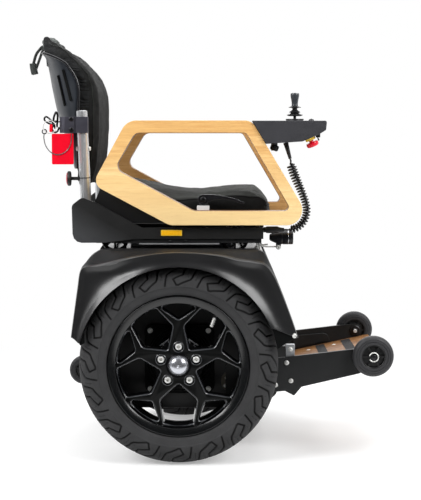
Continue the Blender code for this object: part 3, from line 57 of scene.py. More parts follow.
BOLT_CIRCLE = 0.044
POST_RADIUS = 0.01325
SHELL_HALF = 0.19
SHELL_BEND = 0.8
HOOK = Vector((-0.3101, 0.0, 0.813))
BODY_OF = {node: body for body, nodes in frame["record"]["behaviour"]["bodies"].items() for node in nodes}


def table(text, unit=""):
    """Rows of numbers."""
    return [tuple(float(number + unit) for number in row.split()) for row in text.split(",")]


def mm(text):
    """Rows of lengths, written in millimetres."""
    return table(text, "e-3")


def placed(name, data):
    """New object in the scene."""
    holder = bpy.data.objects.new(name, data)
    bpy.context.scene.collection.objects.link(holder)
    return holder


# Camera

def camera():
    lens = bpy.data.cameras.new("camera")
    lens.lens = 97.99
    lens.sensor_width = 36
    lens.shift_x = -0.011
    lens.clip_end = 60
    holder = placed("camera", lens)
    holder.location = (0.0218, -3.5, 0.779)
    holder.rotation_euler = (math.radians(90 - 4.788), 0, 0)
    bpy.context.scene.camera = holder


camera()


# Shapes

class Shape:
    """Points, faces and the finish number of each face."""

    def __init__(self):
        self.points, self.faces, self.kinds = [], [], []

    def add(self, made, kind=0):
        points, faces = made
        start = len(self.points)
        self.points += [Vector(p) for p in points]
        self.faces += [tuple(start + i for i in face) for face in faces]
        self.kinds += [kind] * len(faces)
        return self


def band(first, second, count):
    """Faces between two rings of points, by the numbers of their first points."""
    return [(first + k, first + (k + 1) % count, second + (k + 1) % count, second + k) for k in range(count)]


def lathe(profile, place, axis, steps=48, closed=False):
    """Turned shape: (radius, height) rings about an axis."""
    turn = Vector(axis).to_track_quat("Z", "Y").to_matrix()
    points, faces, rings = [], [], []
    for radius, height in profile:
        count = 1 if radius < 1e-6 else steps
        rings.append([len(points) + i % count for i in range(steps)])
        for i in range(count):
            angle = 2 * math.pi * i / steps
            spoke = Vector((radius * math.cos(angle), radius * math.sin(angle), height))
            points.append(Vector(place) + turn @ spoke)
    for a, b in zip(rings, rings[1:] + (rings[:1] if closed else [])):
        for i in range(steps):
            j = (i + 1) % steps
            corners = [a[i], b[i], b[j], a[j]]
            corners = [c for k, c in enumerate(corners) if c not in corners[:k]]
            if len(corners) > 2:
                faces.append(corners)
    return points, faces


def bar(start, end, radius, end_radius=None, steps=24):
    axis = Vector(end) - Vector(start)
    last = radius if end_radius is None else end_radius
    return lathe([(0, 0), (radius, 0), (last, axis.length), (0, axis.length)], start, axis, steps)


def sweep(line, radius, steps=10, cyclic=False, flat=1.0):
    """Tube along a line, with a turn that follows it. flat squeezes its height."""
    line = [Vector(p) for p in line]
    count = len(line)
    points, faces = [], []
    side = None
    for i, point in enumerate(line):
        before = line[i - 1] if i or cyclic else point
        after = line[(i + 1) % count] if i < count - 1 or cyclic else point
        ahead = (after - before).normalized()
        if side is None:
            side = ahead.orthogonal().normalized()
        side = (side - ahead * side.dot(ahead)).normalized()
        up = ahead.cross(side)
        size = radius[i] if isinstance(radius, (list, tuple)) else radius
        for k in range(steps):
            angle = 2 * math.pi * k / steps
            points.append(point + (side * math.cos(angle) + up * math.sin(angle) * flat) * size)
    for i in range(count if cyclic else count - 1):
        faces += band(i * steps, (i + 1) % count * steps, steps)
    if not cyclic:
        faces += [tuple(range(steps - 1, -1, -1)), tuple(range((count - 1) * steps, count * steps))]
    return points, faces


def rounded(corners, steps=6):
    """Outline whose corners (u, v, radius) become arcs."""
    outline = []
    for index, (u, v, radius) in enumerate(corners):
        corner = Vector((u, v))
        if radius == 0:
            outline.append(corner)
            continue
        before = (Vector(corners[index - 1][:2]) - corner).normalized()
        after = (Vector(corners[(index + 1) % len(corners)][:2]) - corner).normalized()
        half = before.angle(after) / 2
        centre = corner + (before + after).normalized() * radius / math.sin(half)
        start = corner + before * radius / math.tan(half) - centre
        end = corner + after * radius / math.tan(half) - centre
        turn = math.atan2(start.cross(end), start.dot(end))
        outline += [centre + Matrix.Rotation(turn * step / steps, 2) @ start for step in range(steps + 1)]
    return outline


def rectangle(left, low, right, high, radius, steps):
    return rounded([(left, low, radius), (right, low, radius), (right, high, radius), (left, high, radius)],
            steps)


def ring(centre, radius, steps=32, first=0.0, last=360.0):
    """Points on a circle, or on an arc between two angles in degrees."""
    count = steps if last - first >= 360 else steps + 1
    angles = [math.radians(first + (last - first) * i / steps) for i in range(count)]
    return [Vector((centre[0] + radius * math.cos(a), centre[1] + radius * math.sin(a))) for a in angles]


def evaluated(holder):
    return holder.evaluated_get(bpy.context.evaluated_depsgraph_get())


def taken(work):
    """Points and faces of a bmesh, which is freed."""
    work.verts.index_update()
    made = [v.co.copy() for v in work.verts], [[v.index for v in face.verts] for face in work.faces]
    work.free()
    return made


def soften(work, bevel, segments, limit, material):
    """Rounds the edges sharper than a limit in degrees."""
    if bevel:
        least = math.radians(limit)
        edges = [e for e in work.edges if len(e.link_faces) == 2 and e.calc_face_angle(0) > least]
        bmesh.ops.bevel(work, geom=edges, offset=bevel, segments=segments, profile=0.5, affect="EDGES",
                clamp_overlap=True, material=material)


def slab(outlines, thickness, put):
    """Flat shape with holes. put turns (u, v, w) into a place; w runs half the thickness to either side."""
    curve = bpy.data.curves.new("outline", "CURVE")
    curve.dimensions = "2D"
    curve.fill_mode = "BOTH"
    curve.extrude = thickness / 2
    for outline in outlines:
        spline = curve.splines.new("POLY")
        spline.points.add(len(outline) - 1)
        for point, (u, v) in zip(spline.points, outline):
            point.co = (u, v, 0, 1)
        spline.use_cyclic_u = True
    holder = placed("outline", curve)
    mesh = bpy.data.meshes.new_from_object(evaluated(holder))
    bpy.data.objects.remove(holder, do_unlink=True)
    work = bmesh.new()
    work.from_mesh(mesh)
    bmesh.ops.remove_doubles(work, verts=work.verts, dist=0.00001)
    bmesh.ops.dissolve_limit(work, angle_limit=0.001, verts=work.verts, edges=work.edges)
    points, faces = taken(work)
    return [Vector(put(*p)) for p in points], faces


def plate(outlines, inner, outer, side):
    """Slab standing along the chair, between two distances from its middle."""
    middle = (inner + outer) / 2
    return slab(outlines, abs(outer - inner), lambda u, v, w: (u, side * (middle + w), v))


def brick(low, high):
    points = [(x, y, z) for x in (low[0], high[0]) for y in (low[1], high[1]) for z in (low[2], high[2])]
    return points, [(0, 1, 3, 2), (4, 6, 7, 5), (0, 4, 5, 1), (2, 3, 7, 6), (0, 2, 6, 4), (1, 5, 7, 3)]


def screw(place, axis, radius, height, sides=6):
    """Button-head screw with a socket."""
    turn = Vector(axis).to_track_quat("Z", "Y").to_matrix()
    rows = [(1.0, 0.0), (1.0, 0.45), (0.86, 0.85), (0.62, 1.0), (0.48, 1.0), (0.44, 0.35), (0.0, 0.3)]
    steps = 24
    points = []
    for share, rise in rows:
        for k in range(steps):
            angle = 2 * math.pi * k / steps
            size = share * radius
            if share < 0.55:
                within = (angle % (2 * math.pi / sides)) - math.pi / sides
                size *= math.cos(math.pi / sides) / math.cos(within) * 1.05
            points.append(Vector(place) + turn @ Vector((size * math.cos(angle), size * math.sin(angle),
                    rise * height)))
    return points, [face for i in range(len(rows) - 1) for face in band(i * steps, (i + 1) * steps, steps)]


def washer(place, axis, radius, thickness, steps=20):
    return lathe([(radius, 0), (radius, thickness), (0, thickness)], place, axis, steps)


def read_table(rows, value):
    return float(np.interp(value, *zip(*rows)))


def between(before, start, end, after, t):
    """Smooth way from start to end, also led by the points before and after."""
    return 0.5 * (2 * start + (end - before) * t + (2 * before - 5 * start + 4 * end - after) * t * t
            + (3 * start - before - 3 * end + after) * t ** 3)


def smooth_line(points, samples):
    """Smooth curve through points, evenly spaced along its length."""
    points = [Vector(p) for p in points]
    line = []
    for i in range(len(points) - 1):
        before = points[max(i - 1, 0)]
        after = points[min(i + 2, len(points) - 1)]
        line += [between(before, points[i], points[i + 1], after, step / 24) for step in range(24)]
    line.append(points[-1])
    along = np.concatenate([[0], np.cumsum([(b - a).length for a, b in zip(line, line[1:])])])
    at = np.linspace(0, along[-1], samples + 1)
    axes = [np.interp(at, along, [p[k] for p in line]) for k in range(len(points[0]))]
    return [Vector(p) for p in zip(*axes)]


def make(name, shape, body, finishes, stands_for=None, bevel=0.0, segments=2, limit=30, sharp=48,
        recalc=True, rim_kind=-1):
    """Piece of the object from a shape or one form, on a body, with its finishes."""
    if not isinstance(shape, Shape):
        shape = Shape().add(shape)
    mesh = bpy.data.meshes.new(name)
    mesh.from_pydata([(p[0] + AXLE, p[1], p[2]) for p in shape.points], [], shape.faces)
    mesh.polygons.foreach_set("material_index", shape.kinds)
    work = bmesh.new()
    work.from_mesh(mesh)
    bmesh.ops.remove_doubles(work, verts=work.verts, dist=0.000002)
    if recalc:
        bmesh.ops.recalc_face_normals(work, faces=work.faces)
    soften(work, bevel, segments, limit, rim_kind)
    work.to_mesh(mesh)
    work.free()
    return settle(name, mesh, body, finishes, stands_for, sharp, bool(bevel))


def settle(name, mesh, body, finishes, stands_for=None, sharp=48, weighted=False):
    """Mesh as a piece on a body, with its finishes (names with spaces between) and the node it stands for."""
    mesh.shade_smooth()
    mesh.set_sharp_from_angle(angle=math.radians(sharp))
    for finish in finishes.split():
        mesh.materials.append(FINISH[finish])
    piece = placed(name, mesh)
    if weighted:
        normals = piece.modifiers.new("normals", "WEIGHTED_NORMAL")
        normals.keep_sharp = True
    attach(piece, body)
    if stands_for:
        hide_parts(stands_for)
    return piece


def refined(node, finishes, bevel=0.0008, segments=2, sharp=40):
    """Finer copy of a CAD node: merged faces and rounded edges, which take the second finish, if any."""
    mesh = frame["nodes"][node].data.copy()
    mesh.materials.clear()
    work = bmesh.new()
    work.from_mesh(mesh)
    for layer in list(work.loops.layers.uv):
        work.loops.layers.uv.remove(layer)
    bmesh.ops.remove_doubles(work, verts=work.verts, dist=0.00001)
    bmesh.ops.dissolve_limit(work, angle_limit=math.radians(0.4), verts=work.verts, edges=work.edges)
    bmesh.ops.recalc_face_normals(work, faces=work.faces)
    for face in work.faces:
        face.material_index = 0
    soften(work, bevel, segments, 35, len(finishes.split()) - 1)
    clean = bpy.data.meshes.new("fine_" + node)
    work.to_mesh(clean)
    work.free()
    bpy.data.meshes.remove(mesh)
    return settle("fine_" + node, clean, BODY_OF[node], finishes, node, sharp, True)


# Finishes

def linear(red, green, blue):
    """Colour given in 0 to 255 as the eye sees it."""
    return [((c / 255 + 0.055) / 1.055) ** 2.4 if c > 10 else c / 255 / 12.92 for c in (red, green, blue)]


FINISH = {}


class Nodes:
    """Node tree in the making."""

    def __init__(self, tree):
        self.tree = tree

    def node(self, kind, inputs=(), **settings):
        made = self.tree.nodes.new(kind)
        for key, value in settings.items():
            setattr(made, key, value)
        for socket, value in dict(inputs).items():
            if isinstance(value, bpy.types.NodeSocket):
                self.tree.links.new(value, made.inputs[socket])
            else:
                made.inputs[socket].default_value = value
        return made.outputs

    def maths(self, operation, a, b=0.0):
        return self.node("ShaderNodeMath", {0: a, 1: b}, operation=operation)[0]


class Finish(Nodes):
    """Material: a principled shader and what feeds it."""

    def __init__(self, name, colour, roughness, metallic=0.0, **sockets):
        material = bpy.data.materials.new(name)
        material.use_nodes = True
        FINISH[name] = material
        super().__init__(material.node_tree)
        self.shader = self.tree.nodes["Principled BSDF"]
        self.colour, self.roughness, self.height = colour, roughness, None
        values = {"Base Color": (*colour, 1), "Roughness": roughness, "Metallic": metallic, **sockets}
        for socket, value in values.items():
            self.shader.inputs[socket.replace("_", " ")].default_value = value
        self.place = self.node("ShaderNodeTexCoord")["Object"]

    def link(self, output, socket):
        self.tree.links.new(output, self.shader.inputs[socket])

    def stretched(self, scale):
        return self.node("ShaderNodeMapping", {"Vector": self.place, "Scale": scale})["Vector"]

    def noise(self, scale, detail=4.0, place=None, rough=0.6, distortion=0.0):
        return self.node("ShaderNodeTexNoise", {"Vector": place or self.place, "Scale": scale,
                "Detail": detail, "Roughness": rough, "Distortion": distortion})["Fac"]

    def wave(self, place, scale, distortion, direction, **more):
        return self.node("ShaderNodeTexWave", {"Vector": place, "Scale": scale, "Distortion": distortion,
                **more}, bands_direction=direction)["Fac"]

    def spread(self, value, low, high, from_low=0.25, from_high=0.75):
        return self.node("ShaderNodeMapRange", {"Value": value, "From Min": from_low, "From Max": from_high,
                "To Min": low, "To Max": high})["Result"]

    def ramp(self, value, stops):
        made = self.tree.nodes.new("ShaderNodeValToRGB")
        self.tree.links.new(value, made.inputs["Fac"])
        elements = made.color_ramp.elements
        while len(elements) < len(stops):
            elements.new(0.5)
        for element, (position, colour) in zip(elements, stops):
            element.position = position
            element.color = (*colour, 1)
        return made.outputs["Color"]

    def mix(self, share, *colours):
        a, b = (c if isinstance(c, bpy.types.NodeSocket) else (*c, 1) for c in colours)
        return self.node("ShaderNodeMix", {0: share, 6: a, 7: b}, data_type="RGBA", blend_type="MIX")[2]

    def bump(self, height, distance, strength=1.0):
        inputs = {"Height": height, "Distance": distance, "Strength": strength}
        if self.height is not None:
            inputs["Normal"] = self.height
        self.height = self.node("ShaderNodeBump", inputs)["Normal"]
        self.link(self.height, "Normal")

    def mottled(self, scale, tint, roughness, fine, depth):
        """Uneven colour and gloss, with a fine skin."""
        stops = [(0.3, [c * (1 - tint) for c in self.colour]), (0.7, [c * (1 + tint) for c in self.colour])]
        self.link(self.ramp(self.noise(scale, 5), stops), "Base Color")
        gloss = self.noise(scale * 2.7, 4)
        self.link(self.spread(gloss, self.roughness - roughness, self.roughness + roughness), "Roughness")
        self.bump(self.noise(fine, 2), depth)

    def brushed(self, scale, depth, roughness=0.08):
        """Fine lines of a brushed or polished metal, drawn out along one axis."""
        lines = self.noise(1.0, 3, self.stretched(scale))
        self.link(self.spread(lines, self.roughness - roughness, self.roughness + roughness), "Roughness")
        self.link(self.ramp(lines, [(0.3, [c * 0.86 for c in self.colour]), (0.7, self.colour)]),
                "Base Color")
        self.bump(lines, depth)

    def prisms(self, scale):
        """Small facets of a reflector or lens."""
        cells = self.node("ShaderNodeTexVoronoi", {"Vector": self.place, "Scale": scale / 4,
                "Randomness": 0.25}, feature="F1")["Distance"]
        self.bump(cells, 0.0006)
        self.link(self.mix(cells, [c * 0.6 for c in self.colour], self.colour), "Base Color")

    def coated(self):
        """What feeds the colour now."""
        return self.shader.inputs["Base Color"].links[0].from_socket


# Plain finishes: name; colour; roughness, metallic, specular level, coat, coat roughness; then the mottled
# skin: scale of its patches, tint, change of roughness, scale of the grain and its height in millimetres.
PAINTS = """
tyre_rubber        54  54  55  .82 0   .3  0   .03   22 .16 .06  520 .08
wheel_rubber       50  50  52  .55 0   .4  0   .03   30 .12 .06  600 .06
gloss_black_paint   9   9  10  .16 0   .3  .25 .06   14 .15 .04  260 .01
satin_rim_lip      15  16  17  .20 0   .6  0   .03   20 .1  .03  500 .01
spoke_face_paint   10  11  11  .42 0   .14 0   .03   14 .15 .05  260 .01
spoke_edge_paint   58  60  63  .22 0   .9  .5  .12   40 .2  .05  260 .01
matt_black_cover    7   8   8  .6  0   .12 0   .03   18 .2  .06  500 .04
plated_bracket     92  86  76  .45 .25 .5  0   .03   40 .12 .06  600 .03
satin_black_paint  30  30  31  .36 0   .45 0   .03    9 .14 .05  380 .03
fender_black       32  32  33  .33 0   .5  .28 .22    7 .14 .05  420 .02
fender_top         25  25  26  .45 0   .16 0   .03    7 .14 .05  420 .02
plate_edge         96  97  99  .35 0   .7  0   .03   30 .12 .06  900 .02
lamp_body          26  27  31  .34 0   .5  0   .03   25 .12 .05  300 .01
powder_coat        25  26  27  .45 0   .45 0   .03   12 .14 .06 1100 .08
side_plate_coat    33  33  33  .42 0   .45 0   .03   10 .12 .06 1100 .08
control_box_coat   54  54  58  .5  0   .5  0   .03   16 .1  .06 1300 .07
black_plastic      24  24  25  .45 0   .5  0   .03   20 .15 .07  800 .05
gloss_plastic      28  28  31  .2  0   .5  .3  .03   25 .12 .05  300 .01
shell_plastic      38  42  48  .38 0   .4  0   .03   12 .12 .06  900 .04
cord_jacket        14  14  15  .24 0   .5  0   .03   60 .12 .05  900 .01
cast_alloy        164 165 168  .42 .4  .5  0   .03   30 .14 .08  420 .1
zinc_screws       232 232 229  .34 .3  .5  0   .03  120 .10 .08  900 .01
black_screws       60  60  62  .35 .9  .5  0   .03  120 .15 .08  900 .03
chrome            225 226 230  .09 1   .5  0   .03   40 .03 .03  200 .005
satin_chrome      205 207 214  .24 .85 .5  0   .03   40 .03 .02  300 .001
anodised_clamp     98  97 108  .36 .75 .5  0   .03   26 .08 .05  700 .03
battery_casing     42  52  84  .5  0   .5  0   .03   14 .12 .06  500 .06
white_plastic     226 226 226  .4  0   .5  0   .03   20 .04 .05  600 .03
red_tag           226   0  34  .5  0   .12 0   .03   25 .06 .05  500 .03
stop_red          234   6  44  .32 0   .5  .15 .03   60 .06 .04  300 .01
yellow_plastic    240 200  60  .35 0   .5  0   .03   60 .06 .05  500 .03
braided_wire      120 120 122  .35 .9  .5  0   .03  400 .25 .08 1500 .08
stick_grip         54  58  62  .32 0   .5  0   .03   30 .1  .05  500 .02
"""


def finishes():
    made = {}
    for row in PAINTS.strip().splitlines():
        name, *numbers = row.split()
        numbers = [float(n) for n in numbers]
        roughness, metallic, specular, coat, coat_roughness = numbers[3:8]
        made[name] = Finish(name, linear(*numbers[:3]), roughness, metallic, Specular_IOR_Level=specular,
                Coat_Weight=coat, Coat_Roughness=coat_roughness)
        made[name].mottled(*numbers[8:12], numbers[12] / 1000)
    rubber = made["tyre_rubber"]
    # Painted shade: where the land share falls, in grooves and sipes, the rubber is drawn near-black (grey 6)
    # as the shade in the tread's recesses.
    land = rubber.node("ShaderNodeAttribute", attribute_name="land")["Fac"]
    rubber.link(rubber.mix(land, linear(6, 6, 6), rubber.coated()), "Base Color")
    # Painted light: the side plate's coat turns lighter, towards grey 60, over its rear and lower part, where
    # the light falls on it.
    steel = made["side_plate_coat"]
    spot = steel.node("ShaderNodeSeparateXYZ", {0: steel.place})
    back = steel.maths("MULTIPLY", spot["X"], -1.0)
    along = steel.maths("ADD", back, steel.maths("MULTIPLY", spot["Z"], -1.6))
    panel = steel.spread(along, 0.0, 1.0, -0.674, -0.56)
    steel.link(steel.mix(panel, steel.coated(), linear(60, 61, 63)), "Base Color")
    Finish("milled_alloy", linear(200, 202, 205), 0.34, 0.6).brushed((30, 30, 900), 0.00002)
    Finish("polished_tube", linear(212, 213, 215), 0.24, 0.66).brushed((420, 420, 5), 0.00001, 0.06)
    Finish("red_reflector", linear(214, 30, 62), 0.16, Coat_Weight=0.6).prisms(1300)
    # Painted light: the amber reflector glows a little, standing in for the light it sends back.
    Finish("amber_reflector", linear(255, 190, 14), 0.2, Coat_Weight=0.7, Emission_Color=(1.0, 0.5, 0.02, 1),
            Emission_Strength=0.22).prisms(1100)
    Finish("lamp_lens", linear(214, 218, 224), 0.08, Transmission_Weight=0.5, IOR=1.45).prisms(900)
    oak("oak_veneer", (250, 212, 150), (232, 186, 118), (214, 160, 94), paler=0.62)
    oak("oak_inner", (206, 162, 106), (190, 142, 84), (172, 122, 68))
    oak("oak_edge", (150, 112, 70), (128, 92, 54), (106, 74, 42))
    oak("routed_edge", (186, 138, 108), (164, 116, 90), (140, 96, 74))
    oak("brown_ply", (182, 132, 82), (152, 104, 60), (98, 66, 36), 0.5)
    layered()
    grip()
    cloth("seat_cloth", (31, 33, 30), 1500, 0.05)
    cloth("side_cloth", (17, 18, 18), 1500, 0.03)
    cloth("gathered_cloth", (24, 25, 26), 1500, 0.05, 0.0016)
    cloth("front_cloth", (13, 14, 14), 1300, 0.02)
    cloth("top_cloth", (66, 71, 69), 900, 0.12)
    webbing()


def oak(name, light, middle, dark, roughness=0.42, paler=0.0):
    """Straight-grained veneer: broad figure, narrow streaks and open pores along X, and paler low down."""
    light, middle, dark = linear(*light), linear(*middle), linear(*dark)
    f = Finish(name, middle, roughness, Specular_IOR_Level=0.4)
    figure = f.noise(1.0, 5, f.stretched((2.6, 22, 30)), 0.55, 0.6)
    streaks = f.noise(1.0, 6, f.stretched((14, 230, 330)), 0.7, 0.2)
    pores = f.noise(1.0, 3, f.stretched((38, 700, 1500)), 0.7)
    body = f.ramp(figure, [(0.3, light), (0.52, middle), (0.78, dark)])
    body = f.mix(f.spread(streaks, 0, 0.85, 0.44, 0.66), body, dark)
    height = f.node("ShaderNodeSeparateXYZ", {0: f.place})["Z"]
    body = f.mix(f.spread(height, paler, 0.0, 0.56, 0.76), body, linear(255, 232, 174))
    body = f.mix(f.spread(pores, 0, 0.5, 0.6, 0.74), body, [c * 0.62 for c in dark])
    f.link(body, "Base Color")
    f.link(f.spread(streaks, roughness - 0.05, roughness + 0.1), "Roughness")
    f.bump(streaks, 0.00008)
    f.bump(f.spread(pores, 1, 0, 0.55, 0.7), 0.00012)


def layered():
    """Cut edge of plywood: light and dark layers across its thickness."""
    f = Finish("ply_edge", linear(170, 126, 82), 0.6)
    bands = f.wave(f.stretched((0.2, 0.2, 1)), 130.0, 0.6, "Z")
    f.link(f.ramp(bands, [(0.25, linear(104, 70, 42)), (0.7, linear(186, 142, 96))]), "Base Color")
    f.bump(f.noise(500, 3), 0.0001)


def grip():
    """Coarse grit on a tape."""
    f = Finish("grip_tape", linear(30, 30, 32), 0.85)
    grit = f.noise(1500, 2)
    f.link(f.ramp(grit, [(0.4, linear(22, 22, 23)), (0.7, linear(58, 58, 60))]), "Base Color")
    f.bump(grit, 0.0004)


def cloth(name, colour, threads, sheen, puckers=0.0):
    """Woven cloth: a fine weave, uneven dye and a soft sheen, with puckers across it where it is gathered."""
    colour = linear(*colour)
    f = Finish(name, colour, 0.86, Sheen_Weight=sheen, Sheen_Roughness=0.45, Specular_IOR_Level=0.3)
    waves = [f.wave(f.place, threads / 6.2, 0.4, axis) for axis in "XYZ"]
    weave = f.maths("ADD", f.maths("MULTIPLY", waves[0], waves[1]), waves[2])
    low, high = [c * 0.68 for c in colour], [c * 1.4 for c in colour]
    base = f.ramp(f.noise(26, 5), [(0.3, low), (0.72, high)])
    f.link(f.mix(f.spread(weave, 0.0, 0.35, 0.2, 1.4), base, high), "Base Color")
    f.link(f.spread(f.noise(70, 4), 0.78, 0.94), "Roughness")
    f.bump(f.noise(34, 4, None, 0.5, 0.8), 0.0008, 0.7)
    f.bump(weave, 0.00012)
    if puckers:
        across = f.wave(f.stretched((0.35, 0.35, 1.0)), 26.0, 11.0, "Z", Detail=2.0, **{"Detail Scale": 1.6})
        f.bump(across, puckers)


def webbing():
    """Ribbed strap."""
    f = Finish("webbing", linear(58, 62, 60), 0.8, Sheen_Weight=0.1)
    ribs = f.wave(f.stretched((1, 1, 0.6)), 260.0, 0.3, "DIAGONAL")
    f.link(f.ramp(ribs, [(0.2, linear(36, 39, 38)), (0.8, linear(78, 83, 80))]), "Base Color")
    f.bump(ribs, 0.0003)
    f.bump(f.noise(900, 3), 0.0001)


finishes()


# Curly cord, and its two ends

CORD_Y = -0.2215
CORD_TOP = Vector((0.2673, CORD_Y, 0.7242))
CORD_BOTTOM = Vector((0.2535, CORD_Y, 0.5535))
SLEEVE_TOP = Vector((0.257, CORD_Y, 0.7604))
CORD_WIRE = 0.0022
CORD_TURNS = 27


def curly_cord():
    way = (CORD_TOP - SLEEVE_TOP).normalized()
    start = CORD_TOP + way * 0.0003
    end = CORD_BOTTOM + Vector((0.0003, 0, 0))
    route = [(x, CORD_Y, z) for x, z in mm("268.5 713, 276 690, 285 668, 295.5 644, 303.5 622.5, 307.5 601, "
            "304 582, 294.5 566.5, 280 556.8, 266 553.5")]
    per_turn = 20
    samples = CORD_TURNS * per_turn
    spine = smooth_line(route, samples)
    across = Vector((0, 1, 0))
    line = [start, start + way * CORD_WIRE, start + way * 2 * CORD_WIRE]
    for index, point in enumerate(spine):
        ahead = spine[min(index + 1, samples)] - spine[max(index - 1, 0)]
        normal = across.cross(ahead.normalized())
        angle = 2 * math.pi * index / per_turn
        grow = min(1, index / per_turn, (samples - index) / per_turn)
        full = 0.01 + 0.0019 * min(1.0, max(0.0, (point.z - 0.64) / 0.04))
        radius = (full - CORD_WIRE) * math.sin(grow * math.pi / 2)
        line.append(point + (across * math.sin(angle) + normal * math.cos(angle)) * radius)
    line += [end + Vector((2 * CORD_WIRE, 0, 0)), end + Vector((CORD_WIRE, 0, 0)), end]
    curve = bpy.data.curves.new("curly_cord_line", "CURVE")
    curve.dimensions = "3D"
    curve.bevel_depth = CORD_WIRE
    curve.bevel_resolution = 3
    curve.use_fill_caps = True
    spline = curve.splines.new("POLY")
    spline.points.add(len(line) - 1)
    for point, co in zip(spline.points, line):
        point.co = (co.x + AXLE, co.y, co.z, 1)
    spline.use_smooth = True
    curve.materials.append(FINISH["cord_jacket"])
    piece = placed("curly_cord_visual", curve)
    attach(piece, "seat")
    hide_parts("curly_cord")
    length = sum((b - a).length for a, b in zip(line, line[1:]))
    exit_point = (CORD_TOP.x + AXLE, CORD_TOP.y, CORD_TOP.z)
    return piece, length, exit_point


def cord_ends():
    way = CORD_TOP - SLEEVE_TOP
    length = way.length
    profile = mm("0 -3, 6.2 -3, 6.2 1.5")
    for i in range(1, 12):
        h = length * i / 12
        r = 0.006 - 0.0022 * i / 12
        profile += [(r, h - 0.0008), (r - 0.0003, h), (r, h + 0.0008)]
    profile += [(0.0036, length - 0.0008), (0.0028, length), (0, length)]
    first = make("cord_sleeve_visual", lathe(profile, SLEEVE_TOP, way, 24), "seat", "black_plastic",
            stands_for="cord_sleeve")
    socket = Shape()
    profile = mm("0 203.3, 6.5 203.3, 6.5 209.3, 7.8 209.5, 7.8 239, 7 240, 5.8 243, 4.5 253, 3 253.5, "
            "0 253.5")
    socket.add(lathe(profile, (0, CORD_Y, CORD_BOTTOM.z), (1, 0, 0), 32))
    for i in range(10):
        angle = 2 * math.pi * i / 10
        y, z = 0.0078 * math.cos(angle), 0.0078 * math.sin(angle)
        socket.add(bar((0.212, CORD_Y + y, CORD_BOTTOM.z + z), (0.237, CORD_Y + y, CORD_BOTTOM.z + z),
                0.0007, steps=8))
    second = make("cord_socket_visual", socket, "seat", "black_plastic", stands_for="cord_socket")
    return first, second


cord_piece, cord_length, cord_exit = curly_cord()
cord_pieces = cord_ends()


# Main wheels

TREAD = mm("237.5 0, 237.2 10, 235.9 21.5, 232.8 33, 227.2 43.6, 219.5 52.2, 209.5 58.3, 200.5 60.6, "
        "193.5 61")
SIDEWALL = mm("191.5 61.2, 190 60.9, 189.3 59.6, 187 58.7, 182 57.3, 176.5 55.4, 174.5 54.9, 173.8 53.8, "
        "172 53.2, 170.6 51.8, 169.7 49.5, 169.2 45.7")
REPEAT = 22.5
# Lines of the tread: degrees along the wheel and millimetres from the tread's middle.
GROOVES = [table("36.2 6, 33.6 28, 32.6 44.5, 31.6 63, 30.5 70, 22.8 84, 21.2 84, 19.2 69.4, 25.8 56.3, "
        "26.4 36, 27.2 18"), table("13.2 87, 14.8 65, 15.6 55.5, 20.5 40, 24.6 27, 27.2 18"),
        table("27.2 18, 30 4")]
SIPES = [table(pair) for pair in ("29.2 40, 28.6 57", "34.9 50, 34 70", "19.1 60, 19 62.5",
        "28.9 62, 29.1 65", "23.4 45, 23 50", "30.2 16, 29.6 30", "22 10, 21.2 24")]


def groove_share(angle, along, radius, lines, half):
    """How far each point of the tread lies in a groove, 0 to 1."""
    nearest = np.full(angle.shape, 1.0)
    scale = np.radians(1) * radius
    for line in lines:
        for (a0, s0), (a1, s1) in zip(line, line[1:]):
            dx, dy = (a1 - a0) * scale, (s1 - s0) / 1000
            for shift in (-REPEAT, 0.0, REPEAT):
                off = (a0 - angle) % REPEAT + shift
                x0, y0 = off * scale, s0 / 1000 - along
                t = np.clip(-(x0 * dx + y0 * dy) / (dx * dx + dy * dy), 0, 1)
                nearest = np.minimum(nearest, np.hypot(x0 + t * dx, y0 + t * dy))
    edge = np.clip((half + 0.0007 - nearest) / 0.0014, 0, 1)
    return edge * edge * (3 - 2 * edge)


def tyre_rows():
    """Rows across the tyre: radius, height and distance along the tread (0 off the tread)."""
    dense = smooth_line([Vector((r, h)) for r, h in TREAD], 400)
    along = np.concatenate([[0], np.cumsum([(b - a).length for a, b in zip(dense, dense[1:])])])
    rows = 54
    s = along[-1] * np.arange(rows + 1) / rows
    half = [(float(np.interp(v, along, [p[0] for p in dense])),
            float(np.interp(v, along, [p[1] for p in dense])), v) for v in s]
    side = [(r, h, 0.0) for r, h in SIDEWALL]
    full = [(r, -h, v) for r, h, v in reversed(half[1:])] + half
    return np.array([(r, -h, v) for r, h, v in reversed(side)] + full + side)


